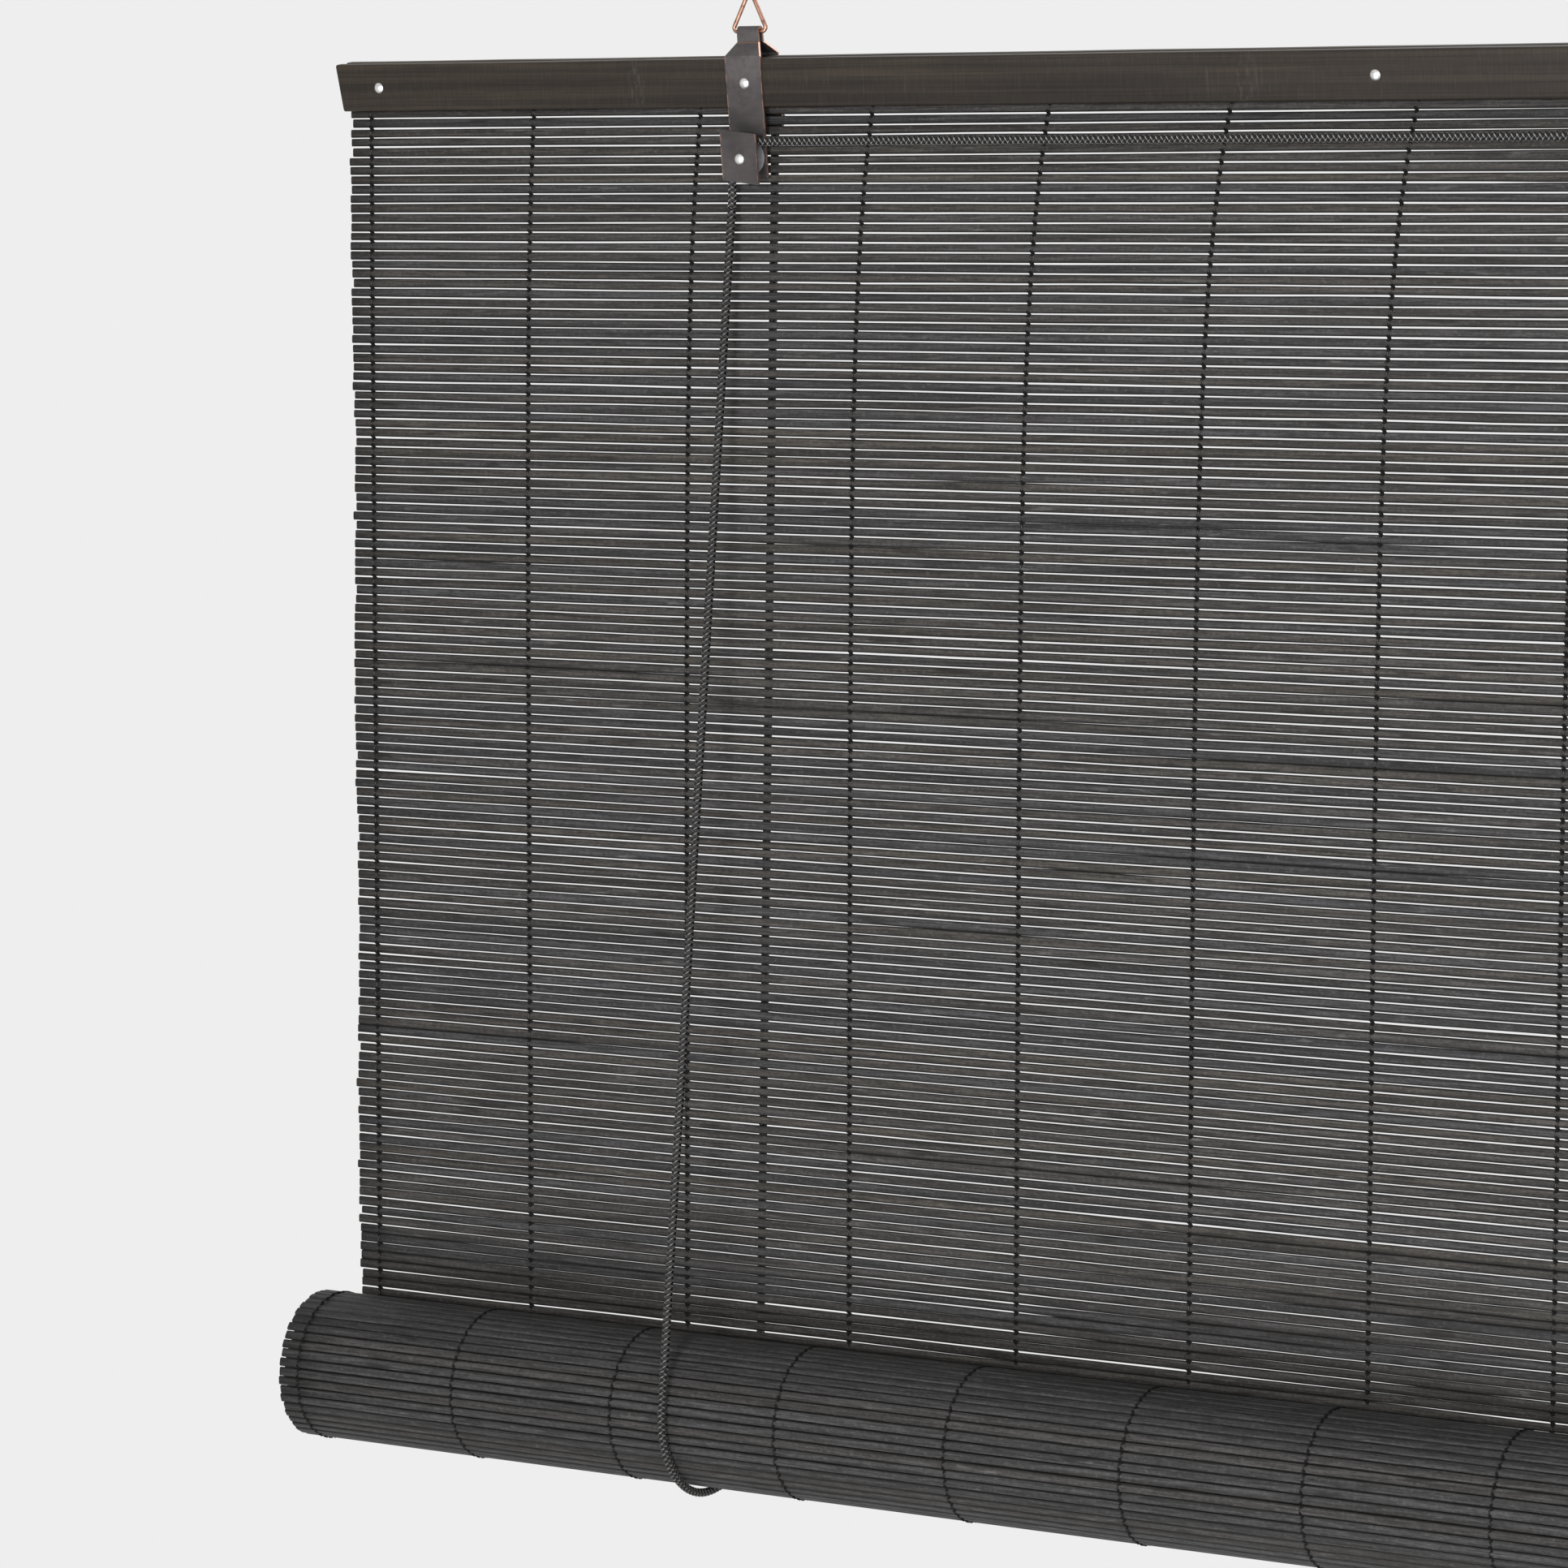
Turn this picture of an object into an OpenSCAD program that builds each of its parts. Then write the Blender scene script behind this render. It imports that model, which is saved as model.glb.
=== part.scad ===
// Black bamboo roll-up blind, hung by two triangle rings and drawn up by cords.
// X runs along the width, the face looks towards -Y and Z is up. The origin is
// midway between the two points where the hooks seat in the rings.

/* [Mat] */
// Width of the mat, along the slats
blind_w = 1000; // [800:10:1400]
// Drop from the lower edge of the head rail to the axis of the roll
mat_drop = 567; // [500:1:900]
// Thickness of a slat
slat_t = 2; // [1.6:0.1:3]
// Height of a slat
slat_h = 3.4; // [3:0.1:3.6]
// Distance from one slat to the next
slat_pitch = 4.2; // [4:0.1:5]
// Depth of the bevel on a slat's long edges
slat_bevel = 0.4; // [0.2:0.1:0.5]
// Open gaps below the head rail, under them the slats lie closed up
open_gaps = 120; // [40:1:120]
// Warp strings across the width
string_count = 13; // [5:2:17]
// Distance of the outer strings from the mat's side edges
string_inset = 10; // [6:1:30]
// Width of a warp string
string_w = 1.4; // [0.8:0.1:2]
// Thickness of a warp string
string_t = 0.4; // [0.3:0.1:0.6]

/* [Head rail] */
// Length of the head rail past each side edge of the mat
rail_over = 2; // [0:0.5:20]
// Height of the two battens
rail_h = 21; // [16:0.5:30]
// Thickness of one batten
batten_t = 6; // [4:0.5:10]
// Bevel along the battens' long edges
batten_bevel = 1.2; // [0.5:0.1:2]
// Height from the ring's bar down to the top edge of the rail
rail_below_bar = 11; // [9:0.5:16]
// Distance of the end rivets from the rail's ends
rail_rivet_inset = 22; // [10:1:60]
// Lean of the head under its load, lower edge to the back
head_lean = 8; // [0:1:12]

/* [Hangers] */
// Distance between the two hangers
hanger_span = 584; // [400:2:700]
// Diameter of the ring's wire
wire_d = 1.9; // [1.4:0.1:2.2]
// Width of the ring between its wire's middle lines
ring_w = 17.2; // [15:0.1:22]
// Height of the ring between its wire's middle lines
ring_h = 18; // [15.5:0.1:24]
// Swelling of the wire at the ring's bends
bend_swell = 0.1; // [0.05:0.05:0.3]
// Thickness of the strap's sheet
sheet_t = 1; // [0.8:0.1:1.4]
// Width of the strap
strap_w = 17.5; // [15:0.5:24]
// Width of the strap's neck in the ring
neck_w = 10.5; // [9:0.5:11.5]
// Height of the neck under the ring's bar
neck_h = 4.5; // [3:0.5:6]
// Length of the strap's front leg under the rail
front_leg = 30; // [28:0.5:40]
// Length of the strap's rear leg under the rail
rear_leg = 13; // [10:0.5:18]
// Diameter of the rivets' heads
rivet_head_d = 4.6; // [3.6:0.1:6]
// Diameter of the rivets' shanks
rivet_d = 3; // [2:0.1:3.2]
// Height of the rivets' heads
rivet_head_h = 1.1; // [0.6:0.1:1.6]

/* [Pulleys] */
// Height of the pulleys' axle under the rail
axle_below_rail = 21; // [19:0.5:24]
// Diameter over a pulley's flanges
pulley_d = 16; // [15:0.5:17]
// Width of a pulley
pulley_w = 7; // [6:0.5:9]
// Diameter of the groove that the cord runs in
groove_d = 9.6; // [8:0.2:11]
// Width of the front plate that covers a pulley
plate_w = 17.5; // [15:0.5:22]
// Height of the front plate
plate_h = 22; // [18:0.5:26]
// Slope of the front plate's upper and lower edges
plate_slope = 7; // [0:1:9]

/* [Roll] */
// Diameter of the roll over its slats
roll_d = 66; // [56:0.2:90]
// Slats round the outer turn
roll_slats = 48; // [40:1:64]
// Depth of the furrow between two slats of the roll
furrow_depth = 0.8; // [0.4:0.1:1.2]
// Thickness of one turn of the wound mat
turn_t = 3.1; // [2.6:0.1:4]
// Width of the furrow between the turns, at the roll's ends
turn_gap = 0.7; // [0.4:0.1:1]
// Depth of that furrow
turn_gap_depth = 3; // [1:0.5:6]
// Angle of the mat's last stretch, where it lies under the back of the roll
tail_angle = 55; // [30:5:70]
// Height of the bottom batten in the roll's core
core_h = 20; // [14:0.5:24]
// Thickness of the bottom batten
core_t = 8; // [6:0.5:10]

/* [Cords] */
// Diameter of the lift cords
cord_d = 4; // [3:0.1:4.6]
// Length of the pull ends under the right hanger's axle
pull_end = 46; // [40:1:60]
// Diameter of the bell that joins the two pull ends
bell_d = 17; // [14:0.5:20]
// Height of the bell
bell_h = 30; // [24:1:40]
// Sideways offset of the rear runs from the middle of the strap
rear_run_offset = 3; // [0:0.5:5]

/* [Fits] */
// Running clearance of what turns or slides
running = 0.35; // [0.2:0.05:0.5]
// Radial clearance of the pulleys on their axles
axle_clearance = 0.08; // [0.03:0.01:0.1]
// Clearance of the bottom batten in the roll's core
core_clearance = 0.15; // [0.1:0.05:0.4]
// Clearance of the strings round the roll over its slats
string_seat = 0.1; // [0.05:0.05:0.3]

/* [Hidden] */
$fn = 48;

// Ring and strap, seen in the head's own upright frame
wire_r = wire_d / 2;
bend_r = wire_r + bend_swell;
apex_half = atan2(ring_w / 2, ring_h);
bar_z = wire_r / sin(apex_half) - ring_h;
loop_in = wire_r + running;
rail_top = bar_z - rail_below_bar;
rail_bottom = rail_top - rail_h;
rail_mid = rail_top - rail_h / 2;
mat_half = slat_t / 2 + string_t;
leg_in = mat_half + batten_t;
leg_out = leg_in + sheet_t;
neck_bottom = bar_z - neck_h;
flare_angle = atan2(leg_in - loop_in, neck_bottom - rail_top - sheet_t);
flare_rise = sheet_t * tan(flare_angle / 2);
strap_bottom = rail_bottom - front_leg;
rear_bottom = rail_bottom - rear_leg;
hanger_x = hanger_span / 2;

// Pulleys, still in the head's own frame
axle_z = rail_bottom - axle_below_rail;
cord_r = cord_d / 2;
wrap_r = groove_d / 2 + running / 2 + cord_r;
pulley_step = pulley_w + running;
near_pulley_y = -leg_out - running - pulley_w / 2;
far_pulley_y = near_pulley_y - pulley_step;
left_plate_y = -leg_out - pulley_step - running;
right_plate_y = left_plate_y - pulley_step;
// The plate hangs a little higher than its axle's middle
plate_drop = plate_h * 0.46;

// Mat and roll, in the frame of the whole blind
function leaned(p) = [
    p.x,
    p.y * cos(head_lean) - (p.z - bar_z) * sin(head_lean),
    bar_z + p.y * sin(head_lean) + (p.z - bar_z) * cos(head_lean),
];
mat_exit = leaned([0, 0, rail_bottom]);
mat_y = mat_exit.y;
roll_r = roll_d / 2;
roll_out = roll_r + string_seat + string_t;
tail_mid_r = roll_out + running + mat_half;
roll_y = mat_y - tail_mid_r;
roll_z = mat_exit.z - mat_drop;
slat_count = floor(mat_drop / slat_pitch + 0.01);
tuck_h = rail_h - 1;
gap_h = slat_pitch - slat_h;
web_half = slat_t / 2 - slat_bevel;
string_span = blind_w - 2 * string_inset;
string_step = string_span / (string_count - 1);
core_turns = floor((roll_r - core_h / 2) / turn_t) - 1;

// Cords
rear_r = tail_mid_r + mat_half + running + cord_r;
under_r = roll_out + running + cord_r;
cord_sides = 8;
left_run_x = -hanger_x - wrap_r;
right_run_x = hanger_x - wrap_r;
pull_x = hanger_x + wrap_r;
hole_z = rear_bottom + rear_leg / 2 - 1.5;
hole_d = cord_d + 2 * running;

function reversed(list) = [for (i = [len(list) - 1 : -1 : 0]) list[i]];

// Places the head's pieces, which lean together about the rings' bars
module lean_head() {
    translate([0, 0, bar_z])
        rotate([head_lean, 0, 0])
            translate([0, 0, -bar_z])
                children();
}

// A cylinder along Y between two depths
module pin(x, z, y0, y1, d) {
    translate([x, y0, z])
        rotate([-90, 0, 0])
            cylinder(h = y1 - y0, d = d);
}

// A low domed rivet head that looks towards -Y, its foot at depth y
module rivet_head(x, z, y) {
    dome_r = (pow(rivet_head_d / 2, 2) + pow(rivet_head_h, 2)) / (2 * rivet_head_h);
    translate([x, y, z])
        rotate([90, 0, 0])
            intersection() {
                translate([0, 0, rivet_head_h - dome_r]) sphere(r = dome_r);
                cylinder(h = rivet_head_h, d = rivet_head_d);
            }
}

// A rivet along Y with a head at each end
module rivet(x, z, y0, y1) {
    pin(x, z, y0, y1, rivet_d);
    rivet_head(x, z, y0);
    translate([0, 2 * y1, 0]) mirror([0, 1, 0]) rivet_head(x, z, y1);
}

// One batten of the head rail, with bevelled long edges, its inner face at Y = 0
module batten_bar() {
    b = batten_bevel;
    length = blind_w + 2 * rail_over;
    outline = [
        [0, 0], [0, rail_h],
        [-batten_t + b, rail_h], [-batten_t, rail_h - b],
        [-batten_t, b], [-batten_t + b, 0],
    ];
    translate([-length / 2, 0, 0])
        rotate([90, 0, 90])
            linear_extrude(length) polygon(outline);
}

rail_rivet_places = [
    -blind_w / 2 - rail_over + rail_rivet_inset,
    0,
    blind_w / 2 + rail_over - rail_rivet_inset,
];

// Holes through the rail for its own rivets and the hangers' rivets
module rail_holes() {
    for (x = concat(rail_rivet_places, [-hanger_x, hanger_x]))
        pin(x, rail_mid, -leg_out, leg_out, rivet_d);
}

module front_batten() {
    color("#332f2b")
        lean_head()
            difference() {
                translate([0, -mat_half, rail_bottom]) batten_bar();
                rail_holes();
            }
}

module rear_batten() {
    color("#2f2c29")
        lean_head()
            difference() {
                translate([0, mat_half, rail_bottom]) mirror([0, 1, 0]) batten_bar();
                rail_holes();
            }
}

module rail_rivets() {
    color("#a9a8a6")
        lean_head()
            for (x = rail_rivet_places)
                rivet(x, rail_mid, -leg_in, leg_in);
}

// Side outline of the strap with Y to the right: down the outside of the front
// leg, up its inside, round the loop and the same for the rear leg
function leg_outer(side, bottom) = [
    [side * (loop_in + sheet_t), neck_bottom + flare_rise],
    [side * leg_out, rail_top + sheet_t + flare_rise],
    [side * leg_out, bottom],
];
function leg_inner(side, bottom) = [
    [side * leg_in, bottom],
    [side * leg_in, rail_top + sheet_t],
    [side * loop_in, neck_bottom],
];
function loop_arc(r) = [for (a = [180 : -15 : 0]) [r * cos(a), bar_z + r * sin(a)]];
function strap_side() = concat(
    reversed(leg_outer(-1, strap_bottom)), loop_arc(loop_in + sheet_t),
    leg_outer(1, rear_bottom), leg_inner(1, rear_bottom),
    reversed(loop_arc(loop_in)), reversed(leg_inner(-1, strap_bottom))
);

// Front outline of the strap: a narrow neck, sloping shoulders and straight sides
function strap_front() = [
    [-neck_w / 2, bar_z + loop_in + sheet_t], [-neck_w / 2, neck_bottom],
    [-strap_w / 2, rail_top + sheet_t], [-strap_w / 2, strap_bottom],
    [strap_w / 2, strap_bottom], [strap_w / 2, rail_top + sheet_t],
    [neck_w / 2, neck_bottom], [neck_w / 2, bar_z + loop_in + sheet_t],
];

// The folded strap: a loop round the ring's bar and two legs that clasp the rail
module strap(x) {
    color("#4a4442")
        lean_head()
            translate([x, 0, 0])
                difference() {
                    intersection() {
                        translate([-strap_w / 2, 0, 0])
                            rotate([90, 0, 90])
                                linear_extrude(strap_w) polygon(strap_side());
                        translate([0, leg_out, 0])
                            rotate([90, 0, 0])
                                linear_extrude(2 * leg_out) polygon(strap_front());
                    }
                    pin(0, rail_mid, -2 * leg_out, 2 * leg_out, rivet_d);
                    pin(0, axle_z, -2 * leg_out, 0, rivet_d);
                    pin(rear_run_offset, hole_z, 0, 2 * leg_out, hole_d);
                }
}

module left_strap() {
    strap(-hanger_x);
}

module right_strap() {
    strap(hanger_x);
}

module strap_rivets() {
    color("#b4b2af")
        lean_head()
            for (x = [-hanger_x, hanger_x])
                rivet(x, rail_mid, -leg_out, leg_out);
}

// The plate in front of a pulley, with sloping upper and lower edges
module front_plate(x, y) {
    half = plate_w / 2;
    top = plate_h - plate_drop;
    rise = half * tan(plate_slope);
    color("#4d4644")
        lean_head()
            translate([x, y, axle_z])
                difference() {
                    rotate([90, 0, 0])
                        linear_extrude(sheet_t)
                            polygon([
                                [-half, top + rise], [-half, rise - plate_drop],
                                [half, -plate_drop - rise], [half, top - rise],
                            ]);
                    pin(0, 0, -2 * sheet_t, sheet_t, rivet_d);
                }
}

module left_front_plate() {
    front_plate(-hanger_x, left_plate_y);
}

module right_front_plate() {
    front_plate(hanger_x, right_plate_y);
}

// The rivet that carries a hanger's pulleys, from the plate to the strap
module axle(x, plate_y) {
    color("#b4b2af")
        lean_head()
            rivet(x, axle_z, plate_y - sheet_t, -leg_in);
}

module left_axle() {
    axle(-hanger_x, left_plate_y);
}

module right_axle() {
    axle(hanger_x, right_plate_y);
}

// A grooved wheel about the Y axis, its middle at the depth given
module pulley(x, y) {
    half = pulley_w / 2;
    floor_half = cord_r * 0.7;
    mouth_half = cord_r + running;
    rim = pulley_d / 2;
    lip = pulley_w / 12;
    bore = rivet_d / 2 + axle_clearance;
    color("#77787a")
        lean_head()
            translate([x, y, axle_z])
                rotate([90, 0, 0])
                    rotate_extrude()
                        polygon([
                            [bore, -half], [rim, -half], [rim, lip - half],
                            [groove_d / 2 + cord_r, -mouth_half],
                            [groove_d / 2, -floor_half], [groove_d / 2, floor_half],
                            [groove_d / 2 + cord_r, mouth_half],
                            [rim, half - lip], [rim, half], [bore, half],
                        ]);
}

module left_pulley() {
    pulley(-hanger_x, near_pulley_y);
}

module right_rear_pulley() {
    pulley(hanger_x, near_pulley_y);
}

module right_front_pulley() {
    pulley(hanger_x, far_pulley_y);
}

// A straight side of the ring between two corners
module ring_side(from, to) {
    run = to - from;
    translate([from.x, 0, from.y])
        rotate([0, 90 - atan2(run.y, run.x), 0])
            cylinder(h = norm(run), d = wire_d);
}

// The triangle ring, bent from wire and closed round the strap's loop
module ring(x) {
    corners = [[-ring_w / 2, bar_z], [ring_w / 2, bar_z], [0, bar_z + ring_h]];
    color("#8a5a3c")
        translate([x, 0, 0])
            for (i = [0 : 2]) {
                ring_side(corners[i], corners[(i + 1) % 3]);
                translate([corners[i].x, 0, corners[i].y]) sphere(r = bend_r);
            }
}

module left_ring() {
    ring(-hanger_x);
}

module right_ring() {
    ring(hanger_x);
}

// One side of the hanging mat in side view, from the rail down: each slat stands
// proud between two furrows. Side is -1 for the face and 1 for the back.
function slat_top(i) = mat_exit.z - gap_h / 2 - i * slat_pitch;
function mat_side(side) = [
    for (i = [0 : slat_count - 1])
        let (z = slat_top(i), out = mat_y + side * slat_t / 2, web = mat_y + side * web_half)
            each [
                [web, z], [out, z - slat_bevel],
                [out, z - slat_h + slat_bevel], [web, z - slat_h],
            ],
];

// The stretch of mat between the battens leans with the head
function tuck_top(side) =
    let (p = leaned([0, side * slat_t / 2, rail_bottom + tuck_h])) [p.y, p.z];
function tuck_bottom(side) =
    let (p = leaned([0, side * slat_t / 2, rail_bottom])) [p.y, p.z];

module slat_mat() {
    outline = concat(
        [tuck_top(-1), tuck_bottom(-1)], mat_side(-1),
        reversed(mat_side(1)), [tuck_bottom(1), tuck_top(1)]
    );
    gap_w = string_span - string_w;
    color("#3b3937")
        difference() {
            translate([-blind_w / 2, 0, 0])
                rotate([90, 0, 90])
                    linear_extrude(blind_w) polygon(outline);
            for (i = [1 : open_gaps])
                translate([-gap_w / 2, mat_y - slat_t, slat_top(i)])
                    cube([gap_w, 2 * slat_t, gap_h]);
            lean_head() rail_holes();
        }
}

function string_x(i) = -string_span / 2 + i * string_step;

// The warp strings lie on the face and on the back of the slats
module mat_strings() {
    top = slat_top(0) - slat_bevel;
    bottom = slat_top(slat_count - 1) - slat_h + slat_bevel;
    color("#191817")
        for (i = [0 : string_count - 1])
            for (y = [mat_y - slat_t / 2 - string_t, mat_y + slat_t / 2])
                translate([string_x(i) - string_w / 2, y, bottom])
                    cube([string_w, string_t, top - bottom]);
}

// A point round the roll's axis, seen from the right end: angle 0 is at the back
// and 90 is under the roll
function round_roll(r, a) = [roll_y + r * cos(a), roll_z - r * sin(a)];

// The last stretch of the mat, which bends round the underside of the roll
tail_slats = floor(tail_angle * PI / 180 * tail_mid_r / slat_pitch);
function tail_side(side) = [
    for (i = [0 : tail_slats - 1])
        let (
            step = tail_angle / tail_slats,
            furrow = step * gap_h / slat_pitch,
            out = tail_mid_r + side * slat_t / 2,
            web = tail_mid_r + side * web_half
        )
            each [
                round_roll(web, i * step),
                round_roll(out, i * step + furrow),
                round_roll(out, (i + 1) * step - furrow),
                round_roll(web, (i + 1) * step),
            ],
];

module mat_tail() {
    color("#3b3937")
        translate([-blind_w / 2, 0, 0])
            rotate([90, 0, 90])
                linear_extrude(blind_w)
                    polygon(concat(tail_side(1), reversed(tail_side(-1))));
}

// A thin band round the roll's axis at each warp string
module string_bands(inner, from, sweep) {
    for (i = [0 : string_count - 1])
        translate([string_x(i) - string_w / 2, roll_y, roll_z])
            rotate([from, 0, 0])
                rotate([90, 0, 90])
                    rotate_extrude(angle = sweep)
                        translate([inner, 0]) square([string_t, string_w]);
}

module tail_strings() {
    color("#191817") string_bands(tail_mid_r + slat_t / 2, -tail_angle, tail_angle);
}

// A furrow that follows the wound turns from the core out to the rim
function turn_r(a) = roll_r - turn_t - a / 360 * turn_t;
function spiral_side(shift) = [
    for (a = [0 : 15 : 360 * core_turns])
        [(turn_r(a) + shift) * cos(a), (turn_r(a) + shift) * sin(a)],
];

module turn_furrow() {
    polygon(concat(spiral_side(turn_gap / 2), reversed(spiral_side(-turn_gap / 2))));
}

// The wound mat: slats round the rim, turns that show at the ends and a slot in
// the core for the bottom batten
module slat_roll() {
    slot_h = core_h + 2 * core_clearance;
    slot_t = core_t + 2 * core_clearance;
    color("#353331")
        translate([-blind_w / 2, roll_y, roll_z])
            rotate([90, 0, 90])
                difference() {
                    cylinder(h = blind_w, d = roll_d);
                    for (i = [0 : roll_slats - 1])
                        rotate([0, 0, (i + 0.5) * 360 / roll_slats])
                            translate([roll_r - furrow_depth, 0, -1])
                                rotate([0, 0, 45])
                                    cube([2 * furrow_depth, 2 * furrow_depth, blind_w + 2]);
                    translate([-slot_t / 2, -slot_h / 2, -1])
                        cube([slot_t, slot_h, blind_w + 2]);
                    translate([0, 0, -1])
                        linear_extrude(turn_gap_depth + 1) turn_furrow();
                    translate([0, 0, blind_w - turn_gap_depth])
                        linear_extrude(turn_gap_depth + 1) turn_furrow();
                }
}

module roll_strings() {
    color("#191817") string_bands(roll_r + string_seat, 0, 360);
}

module bottom_batten() {
    length = blind_w + 2 * rail_over;
    b = batten_bevel;
    color("#332f2b")
        translate([-length / 2, roll_y, roll_z])
            rotate([90, 0, 90])
                linear_extrude(length)
                    polygon([
                        [-core_t / 2 + b, -core_h / 2], [core_t / 2 - b, -core_h / 2],
                        [core_t / 2, -core_h / 2 + b], [core_t / 2, core_h / 2 - b],
                        [core_t / 2 - b, core_h / 2], [-core_t / 2 + b, core_h / 2],
                        [-core_t / 2, core_h / 2 - b], [-core_t / 2, -core_h / 2 + b],
                    ]);
}

// Sweeps a round cord along a list of points. The side vector is the one that
// the rings keep to as they turn with the route.
function unit(v) = v / norm(v);
function heading(path, i) =
    unit(path[min(i + 1, len(path) - 1)] - path[max(i - 1, 0)]);
function cord_ring(p, along, side) =
    let (u = unit(side - (side * along) * along), v = cross(along, u))
        [for (k = [0 : cord_sides - 1])
            p + cord_r * (cos(k * 360 / cord_sides) * u + sin(k * 360 / cord_sides) * v)];

module cord(path, side, first, last) {
    n = len(path);
    s = cord_sides;
    points = [
        for (i = [0 : n - 1])
            let (along = i == 0 ? first : i == n - 1 ? last : heading(path, i))
                each cord_ring(path[i], along, side),
    ];
    walls = [
        for (i = [0 : n - 2], k = [0 : s - 1])
            [i * s + k, i * s + (k + 1) % s, (i + 1) * s + (k + 1) % s, (i + 1) * s + k],
    ];
    ends = [
        [for (k = [s - 1 : -1 : 0]) k],
        [for (k = [0 : s - 1]) (n - 1) * s + k],
    ];
    color("#161616") polyhedron(points = points, faces = [for (f = concat(walls, ends)) reversed(f)]);
}

// The route of a lift cord lies in a plane across the blind. Its radius round
// the roll eases out at the back, where it passes over the mat's last stretch.
down = [0, 0, -1];
across = [1, 0, 0];
head_down = leaned([0, 0, bar_z - 1]) - leaned([0, 0, bar_z]);
head_back = leaned([0, 1, bar_z]) - leaned([0, 0, bar_z]);
loop_parts = 24;
ease_before = 10;
ease_length = 40;
function eased(t) = t * t * (3 - 2 * t);
function loop_r(a) =
    let (t = (a - tail_angle + ease_before) / ease_length)
        rear_r + (under_r - rear_r) * eased(min(1, max(0, t)));

// Where a front run leaves its pulley, and where it has passed the front plate
// and sets off for the roll
knee = plate_drop + cord_d;
function run_start(x, y) = leaned([x, y, axle_z]);
function run_knee(x, y) = run_start(x, y) + knee * head_down;

// The angle round the roll at which a front run touches it
function front_angle(y) =
    let (k = run_knee(0, y), dy = k.y - roll_y, dz = k.z - roll_z)
        360 + atan2(-dz, dy) - acos(under_r / norm([dy, dz]));
function loop_exit(y) = [0, -sin(front_angle(y)), -cos(front_angle(y))];

// A point of the loop, at a share of its way from the back round to the front
function loop_point(x, rear_x, y, t) =
    let (a = t * front_angle(y), p = round_roll(loop_r(a), a))
        [rear_x + (x - rear_x) * t, p[0], p[1]];
function front_route(x, rear_x, y) =
    let (top = run_start(x, y), bend = run_knee(x, y), low = loop_point(x, rear_x, y, 1))
        concat(
            [top, top + (knee - cord_d) * head_down, bend],
            [for (t = [0.01, 0.25, 0.5, 0.75]) bend + (low - bend) * t],
            [low]
        );

module front_cord(x, rear_x, y) {
    cord(front_route(x, rear_x, y), across, head_down, -loop_exit(y));
}

module left_front_cord() {
    front_cord(left_run_x, -hanger_x, near_pulley_y);
}

module right_front_cord() {
    front_cord(right_run_x, hanger_x, far_pulley_y);
}

// The loop under the roll, from the back round to the front
module cord_loop(x, rear_x, y) {
    route = [for (i = [0 : loop_parts]) loop_point(x, rear_x, y, i / loop_parts)];
    cord(route, across, down, loop_exit(y));
}

module left_cord_loop() {
    cord_loop(left_run_x, -hanger_x, near_pulley_y);
}

module right_cord_loop() {
    cord_loop(right_run_x, hanger_x, far_pulley_y);
}

// The rear run hangs from its knot, behind the mat, down to the roll
knot_r = cord_d * 1.2;
knot_depth = cord_d * 1.5;
function rear_route(hanger) =
    let (
        top = leaned([
            hanger + rear_run_offset,
            leg_out + knot_depth * 0.45,
            hole_z - knot_r - running,
        ]),
        low = [hanger, roll_y + rear_r, roll_z]
    )
        [for (i = [0 : 4]) top + (low - top) * i / 4];

module rear_cord(hanger) {
    route = rear_route(hanger);
    cord(route, across, unit(route[1] - route[0]), down);
}

module left_rear_cord() {
    rear_cord(-hanger_x);
}

module right_rear_cord() {
    rear_cord(hanger_x);
}

// The knot that stops a rear run behind its hole, with its tail in the hole
module cord_knot(x) {
    tail = sheet_t + cord_r;
    color("#161616")
        lean_head()
            translate([x + rear_run_offset, leg_out, hole_z])
                rotate([-90, 0, 0])
                    rotate_extrude()
                        polygon([
                            [0, -tail], [cord_r, -tail], [cord_r, running / 2],
                            [knot_r * 0.75, running / 2], [knot_r, knot_depth * 0.3],
                            [knot_r, knot_depth * 0.6], [knot_r * 0.67, knot_depth * 0.93],
                            [knot_r * 0.33, knot_depth], [0, knot_depth],
                        ]);
}

module left_cord_knot() {
    cord_knot(-hanger_x);
}

module right_cord_knot() {
    cord_knot(hanger_x);
}

// Points of a cord that passes over a pulley from one angle to another, where
// 180 is the pulley's left side, 90 its top and 0 its right side
wrap_step = 15;
function wrap(x, y, from, to) = [
    for (a = [from : -wrap_step : to])
        leaned([x + wrap_r * cos(a), y, axle_z + wrap_r * sin(a)]),
];
bell_y = leaned([0, (near_pulley_y + far_pulley_y) / 2, axle_z]).y;
function bell_top() = [pull_x, bell_y, axle_z - pull_end];

// A pull end leaves the pulley straight and draws near to its neighbour
function pull_route(y) =
    let (
        side = y == near_pulley_y ? 1 : -1,
        bend = leaned([pull_x, y, axle_z]) + cord_d * head_down,
        low = bell_top() + [0, side * (cord_r + string_seat), 0]
    )
        [
            bend,
            bend + (low - bend) * 0.35,
            [low.x, low.y + (bend.y - low.y) * 0.2, low.z + 2 * cord_d],
            low,
        ];

// The left lift cord, from the left pulley across to the right one and down
module cross_cord() {
    route = concat(
        wrap(-hanger_x, near_pulley_y, 180, 90),
        wrap(hanger_x, near_pulley_y, 90, 0),
        pull_route(near_pulley_y)
    );
    cord(route, head_back, -head_down, down);
}

// The right lift cord, over the outer pulley and down
module right_over_cord() {
    route = concat(wrap(hanger_x, far_pulley_y, 180, 0), pull_route(far_pulley_y));
    cord(route, head_back, -head_down, down);
}

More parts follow.
